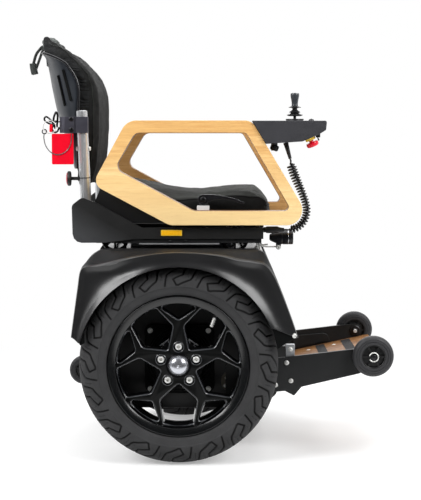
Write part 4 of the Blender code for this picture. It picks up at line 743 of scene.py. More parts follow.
def tyre(side):
    rows = tyre_rows()
    columns = 64
    repeats = int(360 / REPEAT)
    total = columns * repeats
    count = len(rows)
    r, h, s = (rows[:, k:k + 1] for k in range(3))
    before, after = np.roll(rows, 1, axis=0), np.roll(rows, -1, axis=0)
    before[0], after[-1] = rows[0], rows[-1]
    tangent = after[:, :2] - before[:, :2]
    tangent /= np.linalg.norm(tangent, axis=1, keepdims=True)
    inward = np.stack([tangent[:, 1], -tangent[:, 0]], axis=1)
    outward = np.sum(inward * np.stack([r[:, 0] - 0.19, h[:, 0]], axis=1), axis=1) > 0
    inward[outward] *= -1
    angle = np.where(h < 0, REPEAT / 2, 0.0) + REPEAT * np.arange(columns)[None, :] / columns
    depth = np.interp(s, [0.0, 0.045, 0.062, 0.08, 0.087], [0.0055, 0.005, 0.0036, 0.0024, 0.0012])
    angle, r, h, s, depth = (np.broadcast_to(a, (count, columns)) for a in (angle, r, h, s, depth))
    tread = s > 0.0035
    main = groove_share(angle, s, r, GROOVES, 0.002) * tread
    thin = groove_share(angle, s, r, SIPES, 0.0005) * tread
    cut = np.maximum(main * depth, thin * 0.0016)
    # The land share is 1 on the tread's lands and falls in grooves and sipes, which the tyre finish turns
    # into painted shade.
    land = 1 - np.maximum(main, 0.65 * thin)
    radius = np.tile(r + inward[:, :1] * cut, (1, repeats))
    height = np.tile(h + inward[:, 1:] * cut, (1, repeats))
    land = np.tile(land, (1, repeats))
    angles = 2 * np.pi * np.arange(total) / total
    points = np.stack([radius * np.sin(angles) + AXLE, side * (TRACK_HALF + height),
            WHEEL_RADIUS + radius * np.cos(angles)], axis=-1).reshape(-1, 3)
    j, k = np.meshgrid(np.arange(count), np.arange(total), indexing="ij")
    j2, k2 = (j + 1) % count, (k + 1) % total
    faces = np.stack([j * total + k, j2 * total + k, j2 * total + k2, j * total + k2], axis=-1).reshape(-1, 4)
    if side == LEFT:
        faces = faces[:, ::-1]
    mesh = bpy.data.meshes.new("tyre_visual_" + LETTER[side])
    mesh.from_pydata(points.tolist(), [], faces.tolist())
    values = mesh.attributes.new("land", "FLOAT", "POINT")
    values.data.foreach_set("value", land.reshape(-1))
    settle(mesh.name, mesh, "wheel_" + LETTER[side], "tyre_rubber", "tyre_" + LETTER[side], 60)


def polar(radius, degrees, middle=0.0):
    """Point in a wheel's face, with the angle from the top."""
    angle = math.radians(middle + degrees)
    return radius * math.sin(angle), radius * math.cos(angle)


def grown(outline, by):
    """Outline moved outward by a distance."""
    area = sum(a.x * b.y - b.x * a.y for a, b in zip(outline, outline[1:] + outline[:1]))
    turn = 1 if area > 0 else -1
    moved = []
    for index, point in enumerate(outline):
        before = (point - outline[index - 1]).normalized()
        after = (outline[(index + 1) % len(outline)] - point).normalized()
        first, second = Vector((before.y, -before.x)) * turn, Vector((after.y, -after.x)) * turn
        moved.append(point + (first + second) * by / max(1 + first.dot(second), 0.5))
    return moved


def spokes(side, windows, holes):
    """Five forked spokes: flat faces, and windows with a rounded edge, drawn light grey as a painted
    highlight, and drafted walls.
    """
    edge = mm("3.4 0, 2.2 -0.8, 1.1 -2.2, 0.4 -4.2")
    wall = mm("0 -7, -1.2 -14, -2 -21")

    def put(point, height):
        drop = 0.0065 * max(0.0, min(1.0, (point.length - 0.05) / 0.095))
        return Vector((point.x, side * (RIM_FACE + height - drop), WHEEL_RADIUS + point.y))

    star = Shape()
    outer = ring((0, 0), 0.149, 120)
    fronts = [outer] + [grown(window, edge[0][0]) for window in windows] + [grown(hole,
            0.0008) for hole in holes]
    star.add(slab(fronts, 0.0, lambda u, v, t: put(Vector((u, v)), 0.0)))
    for window in windows:
        rows = [[put(p, height) for p in grown(window, by)] for by, height in edge + wall]
        count = len(window)
        for level, (a, b) in enumerate(zip(rows, rows[1:])):
            # The first three rows, the rounded edge, take the light grey edge finish as a painted highlight.
            star.add((a + b, band(0, count, count)), 1 if level < 3 else 2)
    for hole in holes:
        rows = [[put(p, height) for p in grown(hole, by)] for by, height in mm("0.8 0, 0 -0.8, 0 -15")]
        for a, b in zip(rows, rows[1:]):
            star.add((a + b, band(0, len(a), len(a))), 2)
    backs = [outer] + [grown(window, wall[-1][0]) for window in windows]
    star.add(slab(backs, 0.0, lambda u, v, t: put(Vector((u, v)), wall[-1][1])), 2)
    return star


# Windows between and in the spokes: turn in fifths, then millimetres, degrees and the corner's radius.
WINDOWS = [(0.5, table("44.8 0 6, 94 -27.6 12, 144 -14.2 4, 146.2 -7 0, 146.6 0 0, 146.2 7 0, 144 14.2 4, "
        "94 27.6 12")), (0, table("108.5 0 7, 144 -17.4 4, 146.2 -8 0, 146.6 0 0, 146.2 8 0, 144 17.4 4"))]


def rim(side):
    """Wheel rim with its spokes, hub, cap and valve."""
    letter, out = LETTER[side], (0, side, 0)
    shape = Shape()
    place = (0, side * TRACK_HALF, WHEEL_RADIUS)
    lip = mm("152.4 40, 166.4 45, 167.4 46.2, 167.8 49, 167.3 50.6, 166.2 51.3, 165.1 51.2, 164 50.7, "
            "162.8 50.4, 150.2 45.8, 149.4 45")
    well = mm("149 43.6, 148.6 34, 147.8 26, 147 15, 145.8 7, 144 2, 143 -3, 142.8 -18, 145 -26, 152 -39, "
            "159 -47.5, 162 -50")
    back = mm("166.8 -50.8, 169 -49, 169 -45.5, 153.5 -45, 153 -28, 147 -20, 147 4, 152.4 12")
    shape.add(lathe(lip, place, out, 128), 1)
    shape.add(lathe(lip[-1:] + well + back + lip[:1], place, out, 128))
    windows = [rounded([(*polar(r / 1000, degrees, 72 * (index + shift)), corner / 1000) for r, degrees,
            corner in outline], 6) for index in range(5) for shift, outline in WINDOWS]
    holes = [ring(polar(BOLT_CIRCLE, 0, 72 * index), 0.012, 24) for index in range(5)]
    star = spokes(side, windows, holes)
    body = "wheel_" + letter
    make("rim_visual_" + letter, shape, body, "gloss_black_paint satin_rim_lip",
            "rim_" + letter, sharp=42)
    make("rim_spokes_" + letter, star, body, "spoke_face_paint spoke_edge_paint gloss_black_paint",
            sharp=50)

    hub = Shape()
    hub.add(lathe(mm("0 0, 58 0, 58 4, 0 4"), (0, side * (RIM_FACE - 0.0165), WHEEL_RADIUS), out, 64))
    hub.add(lathe(mm("24.5 -1, 24.5 2.2, 25.5 3.2, 28.5 3.2, 29.7 2, 29.7 -1"),
            (0, side * RIM_FACE, WHEEL_RADIUS), out, 64, closed=True))
    for index in range(5):
        u, v = polar(BOLT_CIRCLE, 0, 72 * index)
        # Each bolt recess has a raised ring drawn light grey as a painted highlight.
        hub.add(lathe(mm("11.8 -11, 11.8 0.5, 12.4 0.8, 13.1 0.4, 13.4 -0.4, 13.4 -11"),
                (u, side * RIM_FACE, WHEEL_RADIUS + v), out, 32, closed=True), 2)
        hub.add(screw((u, side * (RIM_FACE - 0.0105), WHEEL_RADIUS + v), out, 0.009, 0.0095), 1)
    make("rim_hub_" + letter, hub, body, "gloss_black_paint zinc_screws spoke_edge_paint",
            sharp=35)

    dome = [(0.0238 * math.cos(a), 0.002 + 0.015 * math.sin(a)) for a in np.linspace(0.0, math.pi / 2,
            14)[:-1]]
    dimple = mm("3 16.9, 2.2 16, 0 15.8")
    cap = lathe(mm("0 0.3, 24 0.3, 24 1.6") + dome + dimple, (0, side * RIM_FACE, WHEEL_RADIUS), out, 64)
    make("hub_cap_visual_" + letter, cap, body, "satin_chrome", "hub_cap_" + letter, sharp=50)

    valve = Shape()
    x, z = polar(0.146, 37)
    toward = Vector((-0.36, side * 0.16, -0.92)).normalized()
    foot = Vector((x, side * (TRACK_HALF + 0.014), WHEEL_RADIUS + z))
    valve.add(bar(foot, foot + toward * 0.006, 0.005, 0.004, 20), 1)
    valve.add(bar(foot + toward * 0.006, foot + toward * 0.029, 0.0032, steps=16))
    for i in range(4):
        at = foot + toward * (0.008 + 0.0055 * i)
        valve.add(lathe(mm("3.2 0, 4.6 0.6, 4.6 2.8, 3.2 3.4"), at, toward, 16))
    make("valve_" + letter, valve, body, "zinc_screws black_plastic")


def drive_side(side):
    """Gearbox cover, its screws and the cast ribs that show between the spokes."""
    letter, out = LETTER[side], (0, side, 0)
    half = 0.085
    z = WHEEL_RADIUS
    make("gearbox_cover_" + letter, plate([rectangle(-half, z - half, half, z + half, 0.02, 6)], 0.2053,
            0.2148, side), "base", "matt_black_cover", "gearbox_" + letter, bevel=0.0015)
    nose = Shape().add(lathe(mm("62 214.6, 62 243, 60 245.5, 56 256, 41 261.5, 40 287, 37 291.3, 0 291.3"),
            (0, 0, z), out, 72), 3)
    for radius, height in mm("65.5 218.5, 71.5 217.2, 77.5 216"):
        nose.add(lathe([(radius, 0.2146), (radius, height - 0.0006), (radius + 0.0006, height),
                (radius + 0.0022, height), (radius + 0.003, height - 0.0006), (radius + 0.003, 0.2146)],
                (0, 0, z), out, 72), 1)
    for sign in (-1, 1):
        for x, up in mm("46 40, 29 37"):
            nose.add(sweep([(sign * 0.0225, side * 0.264, z + 0.056), (sign * x, side * 0.264, z + up)],
                    0.0018, 8))
        nose.add(sweep([(sign * 0.033, side * 0.264, z + 0.0395), (sign * 0.0425, side * 0.264, z + 0.0455)],
                0.0013, 8))
        fin = [Vector((sign * u, z + v)) for u, v in mm("40 -10, 62 1, 51 -30")]
        nose.add(plate([fin], 0.26, 0.264, side))
    fin = [Vector((u, z + v)) for u, v in mm("-15 -48, 15 -48, 9 -60, -9 -60")]
    nose.add(plate([fin], 0.26, 0.264, side))
    for x in (-0.0715, 0.07):
        for up in (-0.0735, 0.0695):
            nose.add(washer((x, side * 0.2147, z + up), out, 0.0066, 0.001, 24), 2)
            nose.add(screw((x, side * 0.2156, z + up), out, 0.0054, 0.0045), 2)
    make("gearbox_nose_" + letter, nose, "base", "cast_alloy gloss_black_paint zinc_screws matt_black_cover",
            sharp=32)
    oval = Shape().add(plate([ring((0.129, 0.181), 0.028, 48)], 0.2052, 0.2085, side))
    for x, up in mm("115 189.8, 111.8 170.3, 130 201"):
        oval.add(screw((x, side * 0.2084, up), out, 0.0048, 0.0032), 1)
    make("tensioner_plate_" + letter, oval, "base", "plated_bracket zinc_screws", bevel=0.0006)


for side in SIDES:
    tyre(side)
    rim(side)
    drive_side(side)


# Fenders

# Stations from the rear tip over the wheel to the front tip: angle on the arch from the top, then in
# millimetres x and z of the side panel's upper edge, of the outer silhouette and of the inner edge beside
# the body cover, and the flare's depth.
STATIONS = table("""
-75.9 -248.5 309 -249.1 308.1 -233 296 4,
-70 -246 330 -246.6 330 -232 330 7,
-61 -240.5 370 -241.1 370 -232 370 12,
-52 -233 423 -233.6 423 -230 423 16,
-45 -226.2 464 -226.8 464 -227 464 18,
-40 -212 474 -219 477.5 -220 479 18,
-34 -185 475.5 -202 495 -204 495 17,
-28 -160 478.5 -180 508.5 -184 501 14,
-20 -115 492.5 -128 509.5 -130 501 9,
-10 -60 502.5 -64 509.8 -64 501 5,
0 -3.4 506.5 0 510 0 501 4,
10 48 504.5 56 510 56 501 5,
19 100 498.5 110 509.5 110 501 8,
27 142 488 156 509 156 501 12,
34 174 483 192 507 190 501 15,
40 202 478 209 489 208.5 488 16,
46 224 450 226.2 451 223 451 16,
53 242.5 408 243.1 409.3 239 408 14,
59 259 365 259.8 365 252 362 11,
63.5 270.5 333 271.2 333 256 324 8,
66.8 278.7 308 279.9 306.2 245 284 4""")


def fender(side):
    letter = LETTER[side]
    stations = np.array(STATIONS)
    stations[:, 1:] /= 1000
    across = 132
    t = np.linspace(0, len(stations) - 1, across + 1)
    index = np.clip(t.astype(int), 0, len(stations) - 2)
    share = (t - index)[:, None]
    before, after = stations[np.maximum(index - 1, 0)], stations[np.minimum(index + 2, len(stations) - 1)]
    rows = between(before, stations[index], stations[index + 1], after, share)
    sections = []
    for angle, cx, cz, bx, bz, ix, iz, flare in rows:
        ax, az = polar(0.2388, angle)
        arch = Vector((ax, az + WHEEL_RADIUS))
        crease, crest, inner = Vector((cx, cz)), Vector((bx, bz)), Vector((ix, iz))
        lip = (arch - Vector((0, WHEEL_RADIUS))).normalized()
        line = [(arch + lip * 0.0006, 0.343), (arch, 0.3475)]
        steps = 16
        for k in range(steps + 1):
            v = k / steps
            at = arch.lerp(crease, 0.004 + 0.992 * v)
            inward = 1 - (1 - min(1, v / 0.62)) ** 2.2
            depth = 0.349 - flare * inward + (flare - 0.004) * max(0, (v - 0.62) / 0.38) ** 2 * 0.55
            line.append((at, depth))
        edge = line[-1][1]
        wall = min(1.0, (crest - crease).length / 0.012)
        line.append((crease.lerp(crest, 0.06), edge - 0.0016))
        line.append((crease.lerp(crest, 0.16), edge - 0.005 - 0.004 * wall))
        for k in (0.4, 0.7, 1.0):
            line.append((crease.lerp(crest, k), edge + (0.3 - edge) * (0.1 + 0.9 * k) * wall - 0.02 * k
                    * (1 - wall)))
        last = line[-1][1]
        for k in (0.25, 0.5, 0.75):
            line.append((crest.lerp(inner, k * 0.4), last + (0.2135 - last) * k))
        line.append((crest.lerp(inner, 0.5), 0.212))
        line.append((inner, 0.2075))
        fold = Vector((0.012 if angle < 0 else -0.012, 0.0)) * min(1.0, max(0.0, (abs(angle) - 48) / 8))
        line.append((inner + fold, 0.2056))
        sections.append([Vector((p.x, side * y, p.y)) for p, y in line])
    count = len(sections[0])
    shape = Shape()
    faces = []
    for i in range(len(sections) - 1):
        for k in range(count - 1):
            first = i * count + k
            quad = (first, first + count, first + count + 1, first + 1)
            faces.append(quad if side == LEFT else quad[::-1])
    shape.add(([p for section in sections for p in section], faces))
    # Painted shade: the faces past the crease take a darker, duller finish, as the fender's top lies in
    # shade.
    shape.kinds = [int(index % (count - 1) >= 20) for index in range(len(faces))]
    piece = make("fender_visual_" + letter, shape, "base", "fender_black fender_top",
            "fender_" + letter, sharp=38, recalc=False)
    wall = piece.modifiers.new("wall", "SOLIDIFY")
    wall.thickness = 0.0025
    wall.offset = -1
    middle = min(range(len(rows)), key=lambda i: abs(rows[i][0]))
    line = [p + Vector((0, side * 0.0001, 0)) for p in sections[middle][2:20]]
    make("fender_seam_" + letter, sweep(line, 0.0007, 6), "base", "satin_black_paint")
    # Plates in the fender's tips stand for its inner walls there; their near-black tone, darker than the
    # fender, is painted shade.
    flange = Shape()
    for outline in (mm("219.7 334, 275.2 309.8, 233.1 281.8"), mm("-241.3 308.5, -231 327, -219 324, "
            "-219 296, -228.6 290.1")):
        flange.add(plate([outline], 0.341, 0.3446, side))
    make("fender_flange_" + letter, flange, "base", "matt_black_cover", bevel=0.0005,
            segments=1)
    screws = Shape().add(washer((0.273, side * 0.3455, 0.3135), (0.25, side, -0.1), 0.006, 0.0012))
    screws.add(screw((0.2733, side * 0.3466, 0.3134), (0.25, side, -0.1), 0.0042, 0.0022))
    make("fender_screw_" + letter, screws, "base", "zinc_screws")


for side in SIDES:
    fender(side)


# Chassis and footrest

def chassis():
    refined("body_cover", "gloss_black_paint", 0.0012, 2)
    refined("chassis_tub", "satin_black_paint", 0.0015, 2)
    refined("battery_pack", "battery_casing", 0.001, 2)
    refined("guide_rail", "milled_alloy", 0.0004, 1)
    for side in SIDES:
        refined("motor_" + LETTER[side], "cast_alloy", 0.001, 2)
        refined("rear_arm_" + LETTER[side], "powder_coat", 0.0008, 2)


SLOPE = math.radians(12.3)
BOARD_EDGE = (0.3, 0.1931)
BOARD_NORMAL = Vector((-math.sin(SLOPE), 0, math.cos(SLOPE)))


def on_board(along, across, lift=0.0):
    """Place on the footboard's upper face."""
    x = BOARD_EDGE[0] + along * math.cos(SLOPE) - lift * math.sin(SLOPE)
    z = BOARD_EDGE[1] + along * math.sin(SLOPE) + lift * math.cos(SLOPE)
    return Vector((x, across, z))


def footrest():
    outline = rounded(mm("0 -204.7 3, 210 -204.7 12, 210 204.7 12, 0 204.7 3"), 4)
    board = slab([outline], 0.015, lambda u, v, w: on_board(u, v, w - 0.0075))
    piece = make("footboard_visual", board, "base", "brown_ply ply_edge", "footboard",
            bevel=0.0012)
    for polygon in piece.data.polygons:
        if abs(polygon.normal.dot(BOARD_NORMAL)) < 0.6:
            polygon.material_index = 1
    tape = Shape()
    for start, end in mm("62 86, 132 157"):
        outline = rectangle(start, -0.19, end, 0.19, 0.002, 3)
        tape.add(slab([outline], 0.0008, lambda u, v, w: on_board(u, v, w + 0.0004)))
    make("grip_bands", tape, "base", "grip_tape", bevel=0.0002, segments=1)
    heads = Shape()
    for along in (0.04, 0.11):
        for across in (-0.15, 0.15):
            heads.add(screw(on_board(along, across), BOARD_NORMAL, 0.0055, 0.0012))
    make("board_screws", heads, "base", "zinc_screws")
    for side in SIDES:
        foot_side(side)


def foot_side(side):
    letter, out = LETTER[side], (0, side, 0)
    refined("foot_plate_" + letter, "powder_coat", 0.0008, 2)
    bolts = Shape()
    for x, z in mm("261.3 227.7, 272 183, 234.2 172.8, 150 205, 150 150"):
        bolts.add(washer((x, side * 0.2133, z), out, 0.0059, 0.001))
        bolts.add(screw((x, side * 0.2142, z), out, 0.005, 0.0036))
    make("foot_plate_bolts_" + letter, bolts, "base", "zinc_screws")
    make("board_bracket_" + letter, brick((0.259, side * 0.193, 0.205), (0.2816, side * 0.205, 0.2717)),
            "base", "milled_alloy", bevel=0.0015)
    stud = Shape().add(washer((0.2707, side * 0.205, 0.2594), out, 0.0062, 0.0012))
    stud.add(screw((0.2707, side * 0.206, 0.2594), out, 0.0048, 0.0034))
    make("bracket_screw_" + letter, stud, "base", "zinc_screws")
    outline = rounded(mm("300 199 2, 400 220 2, 398 242 18, 300 233.5 2"), 5)
    make("board_guard_" + letter, plate([outline], 0.199, 0.2046, side), "base", "powder_coat",
            bevel=0.0012)
    caster(side)


def mirrored(half):
    """Profile of a wheel from the half on one side of its middle."""
    return half + [(radius, -height) for radius, height in reversed(half) if height]


def struts(shape, place, count, turn, offsets, reach, radius):
    """Spokes of a small wheel, at some distances along its axle."""
    for index in range(count):
        u, v = polar(1.0, 360 / count * index + turn)
        for y in offsets:
            shape.add(sweep([(place[0] + r * u, place[1] + y, place[2] + r * v) for r in reach], radius, 4),
                    1)


def caster(side):
    letter, out = LETTER[side], (0, side, 0)
    cx, cz = 0.47, 0.2468
    middle = side * 0.2313
    shape = Shape()
    tread = mm("29 13.6, 31 14.6, 35 14.2, 35.8 13, 36.6 14.2, 40.5 13.4, 41.3 12, 42.1 12.8, 45.5 11, "
            "48 8.6, 49.4 5.5, 49.9 2.5, 50 0")
    hub = mm("6.6 15, 10.5 15, 11.2 14.2, 11.6 8, 26.2 7.2, 26.6 13, 27.6 13.8, 29.2 13.8")
    shape.add(lathe(mirrored(tread), (cx, middle, cz), out, 72, closed=True))
    shape.add(lathe(mirrored(hub), (cx, middle, cz), out, 48, closed=True), 1)
    struts(shape, (cx, middle, cz), 6, 30, (side * 0.0102, -side * 0.0102), (0.011, 0.027), 0.003)
    make("caster_visual_" + letter, shape, "caster_" + letter, "wheel_rubber black_plastic",
            "caster_wheel_" + letter, sharp=34)
    line = [(cx + p.x, side * 0.2485, cz + p.y) for p in ring((0, 0), 0.0108, 28, -150, 165)]
    make("caster_clip_" + letter, sweep(line, 0.0016, 8), "base", "zinc_screws")
    make("caster_bolt_end_" + letter, lathe(mm("6 0, 6 1, 5 1.6, 0 1.6"), (cx, side * 0.25, cz), out, 24),
            "base", "black_screws")
    nut = Shape().add(lathe(mm("0 0, 14.5 0, 14.5 2.2, 13 3, 0 3"), (cx, side * 0.2052, cz), (0, -side, 0),
            28), 1)
    nut.add(lathe(mm("0 3, 8.8 3, 8.8 7.4, 7.8 8.2, 5 8.2"), (cx, side * 0.2052, cz), (0, -side, 0), 6), 1)
    nut.add(lathe(mm("5 8, 5 10.4, 4 11.2, 0 11.2"), (cx, side * 0.2052, cz), (0, -side, 0), 20))
    make("caster_nut_" + letter, nut, "base", "zinc_screws black_screws", sharp=25)


def rear_wheel(side):
    letter, out = LETTER[side], (0, side, 0)
    cx, cz = -0.2365, 0.2049
    middle = side * 0.1785
    shape = Shape()
    tread = mm("21.2 10.8, 23.5 11.6, 28.9 11.2, 29.6 10, 30.4 10.6, 33 8.4, 35 5, 35.4 0")
    hub = mm("5.5 12, 10 12, 10.6 7, 19 6.4, 19.4 10.8, 21.4 10.8")
    shape.add(lathe(mirrored(tread), (cx, middle, cz), out, 64, closed=True))
    shape.add(lathe(mirrored(hub), (cx, middle, cz), out, 40, closed=True), 1)
    struts(shape, (cx, middle, cz), 5, 0, (side * 0.0088, -side * 0.0088), (0.009, 0.0198), 0.0022)
    make("tip_wheel_visual_" + letter, shape, "tip_wheel_" + letter, "wheel_rubber black_plastic",
            "rear_wheel_" + letter, sharp=34)
    make("tip_wheel_bolt_" + letter, screw((cx, side * 0.1934, cz), out, 0.0075, 0.004), "base",
            "zinc_screws")


chassis()
footrest()
for side in SIDES:
    rear_wheel(side)


# Seat frame

def seat_frame():
    for side in SIDES:
        letter = LETTER[side]
        # The side plates' rounded edges take a light grey finish, a painted highlight along them.
        refined("side_plate_" + letter, "side_plate_coat plate_edge", 0.0012, 3)
        refined("arm_guard_" + letter, "satin_black_paint", 0.0006, 2)
        armrest(side)
        side_details(side)
    refined("seat_tray", "powder_coat", 0.0006, 1)
    refined("cross_plate", "milled_alloy", 0.0006, 1)
    refined("seat_board", "powder_coat", 0.0015, 2)
    rollers()


ARMREST_OUTER = mm("-123.8 816 39, 174 816 28.6, 323.6 565.5 37.3, -22.6 565.5 40, -207.1 663.9 25")
ARMREST_OPENING = mm("-104 786.6 22, 160.8 786.6 12, 270 600.1 10, 35.2 600.1 30, -153.8 701.4 20")


def inside(outline, x, z):
    """Whether a point lies in an outline."""
    hit = False
    for (ax, az), (bx, bz) in zip(outline, outline[1:] + outline[:1]):
        if (az > z) != (bz > z) and x < ax + (z - az) * (bx - ax) / (bz - az):
            hit = not hit
    return hit


def armrest(side):
    """Plywood frame: veneered faces, rounded rim, and a routed opening with a fine chamfer; the opening's
    walls and the inner faces are drawn darker brown as painted shade.
    """
    letter = LETTER[side]
    piece = make("armrest_visual_" + letter,
            plate([rounded(ARMREST_OUTER, 12), rounded(ARMREST_OPENING, 10)], 0.2065, 0.245, side), "seat",
            "oak_veneer oak_edge routed_edge oak_inner", "armrest_" + letter, bevel=0.0022,
            segments=3, limit=50)
    centre = (0.054, 0.69)
    around = [(centre[0] + (p.x - centre[0]) * 1.04,
            centre[1] + (p.y - centre[1]) * 1.07) for p in rounded(ARMREST_OPENING, 10)]
    for polygon in piece.data.polygons:
        c = polygon.center
        # Painted shade: the faces turned toward the chair's middle take a darker brown oak.
        if abs(polygon.normal.y) > 0.9 and polygon.normal.y * side < 0:
            polygon.material_index = 3
            continue
        if len(polygon.vertices) > 6 and abs(polygon.normal.y) > 0.9:
            continue
        # Painted shade: the opening's walls take a darker brown oak, and its chamfer takes the routed edge's
        # own colour.
        if inside(around, c.x - AXLE, c.z) and abs(polygon.normal.y) < 0.95:
            polygon.material_index = 2 if abs(polygon.normal.y) > 0.12 else 1


def side_details(side):
    """Studs and screws at the armrest's foot, and the side reflector."""
    letter = LETTER[side]
    bits = Shape()
    for x in (-0.012, 0.06, 0.134, 0.19):
        bits.add(lathe(mm("5.6 558.4, 5.6 560, 4.6 560.6, 4.6 565.2"), (x, side * 0.2165, 0), (0, 0, 1), 20))
    for x in (-0.022, 0.016):
        bits.add(screw((x, side * 0.2282, 0.5265), (0, side, 0), 0.003, 0.0012))
    make("armrest_studs_" + letter, bits, "seat", "black_screws")
    reflector = Shape().add(plate([rectangle(-0.0437, 0.5392, 0.0069, 0.5534, 0.0015, 3)], 0.2281, 0.2306,
            side), 1)
    reflector.add(plate([rectangle(-0.0418, 0.5409, 0.005, 0.5517, 0.001, 3)], 0.2304, 0.2312, side))
    make("side_reflector_" + letter, reflector, "seat", "amber_reflector yellow_plastic",
            bevel=0.0003, segments=1)


def rollers():
    for label, x in (("rear", -0.157), ("front", 0.135)):
        z = 0.5318
        shape = Shape().add(bar((x, -0.2237, z), (x, 0.2237, z), 0.006, steps=24), 1)
        for side in SIDES:
            place = (x, side * 0.1948, z)
            tread = mm("29 7, 32.5 7.7, 34.1 6, 34.5 3")
            shape.add(lathe(mirrored(tread), place, (0, side, 0), 56, closed=True))
            shape.add(lathe(mirrored(mm("26.5 6, 29.2 6.6")), place, (0, side, 0), 56, closed=True), 1)
            shape.add(lathe(mirrored(mm("6 7, 11 7, 12 5")), place, (0, side, 0), 32, closed=True), 1)
            struts(shape, place, 6, 0, (0,), (0.01, 0.028), 0.0036)
        make("roller_visual_" + label, shape, "roller_" + label, "cord_jacket black_plastic",
                "roller_" + label, sharp=34)


seat_frame()


# Cushions

SEAT_CROWN = mm("-184 666, -160 670.5, -125 670.8, -80 662, -20 648, 20 643, 55 642, 90 646, 120 650.5, "
        "150 652.5, 180 652, 197 651.5, 210 648.5, 219 641.5, 225 631, 226.8 612")
SEAT_RAIL = mm("-184 650, -100 640, -7 631.4, 60 637, 124 642.4, 180 640.5, 210 636, 225 624")


def grid_box(cuts, shape_of):
    """Cube cage cut into a grid, with each point (each part -1 to 1) put in place by a function."""
    work = bmesh.new()
    bmesh.ops.create_cube(work, size=2)
    bmesh.ops.subdivide_edges(work, edges=work.edges[:], cuts=cuts, use_grid_fill=True)
    for vertex in work.verts:
        vertex.co = shape_of(*vertex.co)
    bmesh.ops.recalc_face_normals(work, faces=work.faces)
    return taken(work)


def seat_point(u, v, w):
    """Point of the seat cushion's outside."""
    x = 0.0215 + 0.2045 * u
    rail = read_table(SEAT_RAIL, x)
    crown = read_table(SEAT_CROWN, x)
    bottom = 0.5686
    up = (w + 1) / 2
    top = rail - 0.003 + (crown - rail + 0.003) * (1 - abs(v) ** 3.2)
    round_front = max(0.0, (u - 0.86) / 0.14) ** 2
    z = bottom + (top - bottom) * up
    side_share = abs(v) ** 6
    pulled = 0.0055 * (1 - u * u) + 0.004 * (2 * up - 1) ** 4
    y = v * (0.1835 - pulled * side_share)
    x -= 0.004 * round_front * (1 - up) + 0.008 * (abs(v) ** 8) * max(0, u) ** 8
    x += 0.006 * (abs(v) ** 8) * max(0, -u) ** 8
    return Vector((x, y, z))


def folds(piece, amount, scale, seed, place=None):
    """Soft, uneven swelling and folds in a padded piece."""
    mesh = piece.data
    normals = [v.normal.copy() for v in mesh.vertices]
    for vertex, normal in zip(mesh.vertices, normals):
        p = vertex.co * scale + Vector((seed, 0, 0))
        share = place(vertex.co) if place else 1.0
        value = noise.noise(p) + 0.5 * noise.noise(p * 2.3) + 0.25 * noise.noise(p * 4.9)
        vertex.co += normal * amount * share * value


def swollen(name, form, cap, fixed, voxel=0.006, shrink=0.0035):
    """Padded form: an even cage, a little smaller, blown up as cloth. No point moves farther than the cap."""
    scene = bpy.context.scene
    cage = bpy.data.meshes.new(name + "_cage")
    points, faces = form
    cage.from_pydata([(p[0] + AXLE, p[1], p[2]) for p in points], [], faces)
    normals = [v.normal.copy() for v in cage.vertices]
    for vertex, normal in zip(cage.vertices, normals):
        if not fixed(vertex.co):
            vertex.co -= normal * shrink
    holder = placed(name + "_cage", cage)
    even = holder.modifiers.new("even", "REMESH")
    even.mode = "VOXEL"
    even.voxel_size = voxel
    mesh = bpy.data.meshes.new_from_object(evaluated(holder))
    holder.modifiers.clear()
    holder.data = mesh
    bpy.data.meshes.remove(cage)
    pin = holder.vertex_groups.new(name="pin")
    pin.add([v.index for v in mesh.vertices if fixed(v.co)], 1.0, "REPLACE")
    rest = [v.co.copy() for v in mesh.vertices]
    blown = holder.modifiers.new("blown", "CLOTH")
    blown.settings.quality = 4
    blown.settings.vertex_group_mass = "pin"
    blown.settings.use_pressure = True
    blown.settings.uniform_pressure_force = 4.0
    blown.settings.effector_weights.gravity = 0.0
    blown.collision_settings.use_collision = False
    for step in range(1, 21):
        scene.frame_set(step)
    moved = [v.co.copy() for v in evaluated(holder).to_mesh().vertices]
    scene.frame_set(1)
    holder.modifiers.clear()
    for vertex, start, end in zip(mesh.vertices, rest, moved):
        step = end - start
        if step.length > cap:
            step *= cap / step.length
        vertex.co = start + step
    holder.vertex_groups.clear()
    bpy.data.objects.remove(holder, do_unlink=True)
    mesh.name = name
    mesh.materials.clear()
    return mesh


def padded(name, form, body, finishes, stands_for, cap, fixed, voxel=0.006):
    piece = settle(name, swollen(name, form, cap, fixed, voxel), body, finishes,
            stands_for, 180)
    soft = piece.modifiers.new("soft", "SUBSURF")
    soft.levels = soft.render_levels = 1
    return piece


def piping(name, line, radius, body, finish, on, lift=0.0004):
    """Sewn cord along a line, laid on a padded piece's skin."""
    skin = BVHTree.FromPolygons([v.co for v in on.data.vertices], [p.vertices for p in on.data.polygons])
    middle = Vector(on.bound_box[0]).lerp(Vector(on.bound_box[6]), 0.5)
    laid = []
    for point in line:
        place, normal, _, _ = skin.find_nearest(Vector((point.x + AXLE, point.y, point.z)))
        outward = normal if normal.dot(place - middle) > 0 else -normal
        place = place + outward * lift
        laid.append(Vector((place.x - AXLE, place.y, place.z)))
    return make(name, sweep(smooth_line(laid, 2 * len(laid)), radius, 8), body, finish)


def seat_cushion():
    piece = padded("seat_cushion_visual", grid_box(20, seat_point), "seat", "seat_cloth side_cloth",
            "seat_cushion", 0.0045, lambda p: p.z < 0.5745)
    for polygon in piece.data.polygons:
        if polygon.normal.z < 0.55:
            polygon.material_index = 1
    folds(piece, 0.0016, 30, 3.0, lambda p: 1.0 if p.z > 0.6 else 0.4)
    for side in SIDES:
        line = [seat_point(u, side, 0.93) for u in np.linspace(-1, 1, 40)]
        piping("seat_piping_" + LETTER[side], line, 0.0014, "seat", "side_cloth", piece)
    front = [seat_point(1, v, 0.55) for v in np.linspace(-0.97, 0.97, 40)]
    piping("seat_front_seam", front, 0.0012, "seat", "side_cloth", piece)


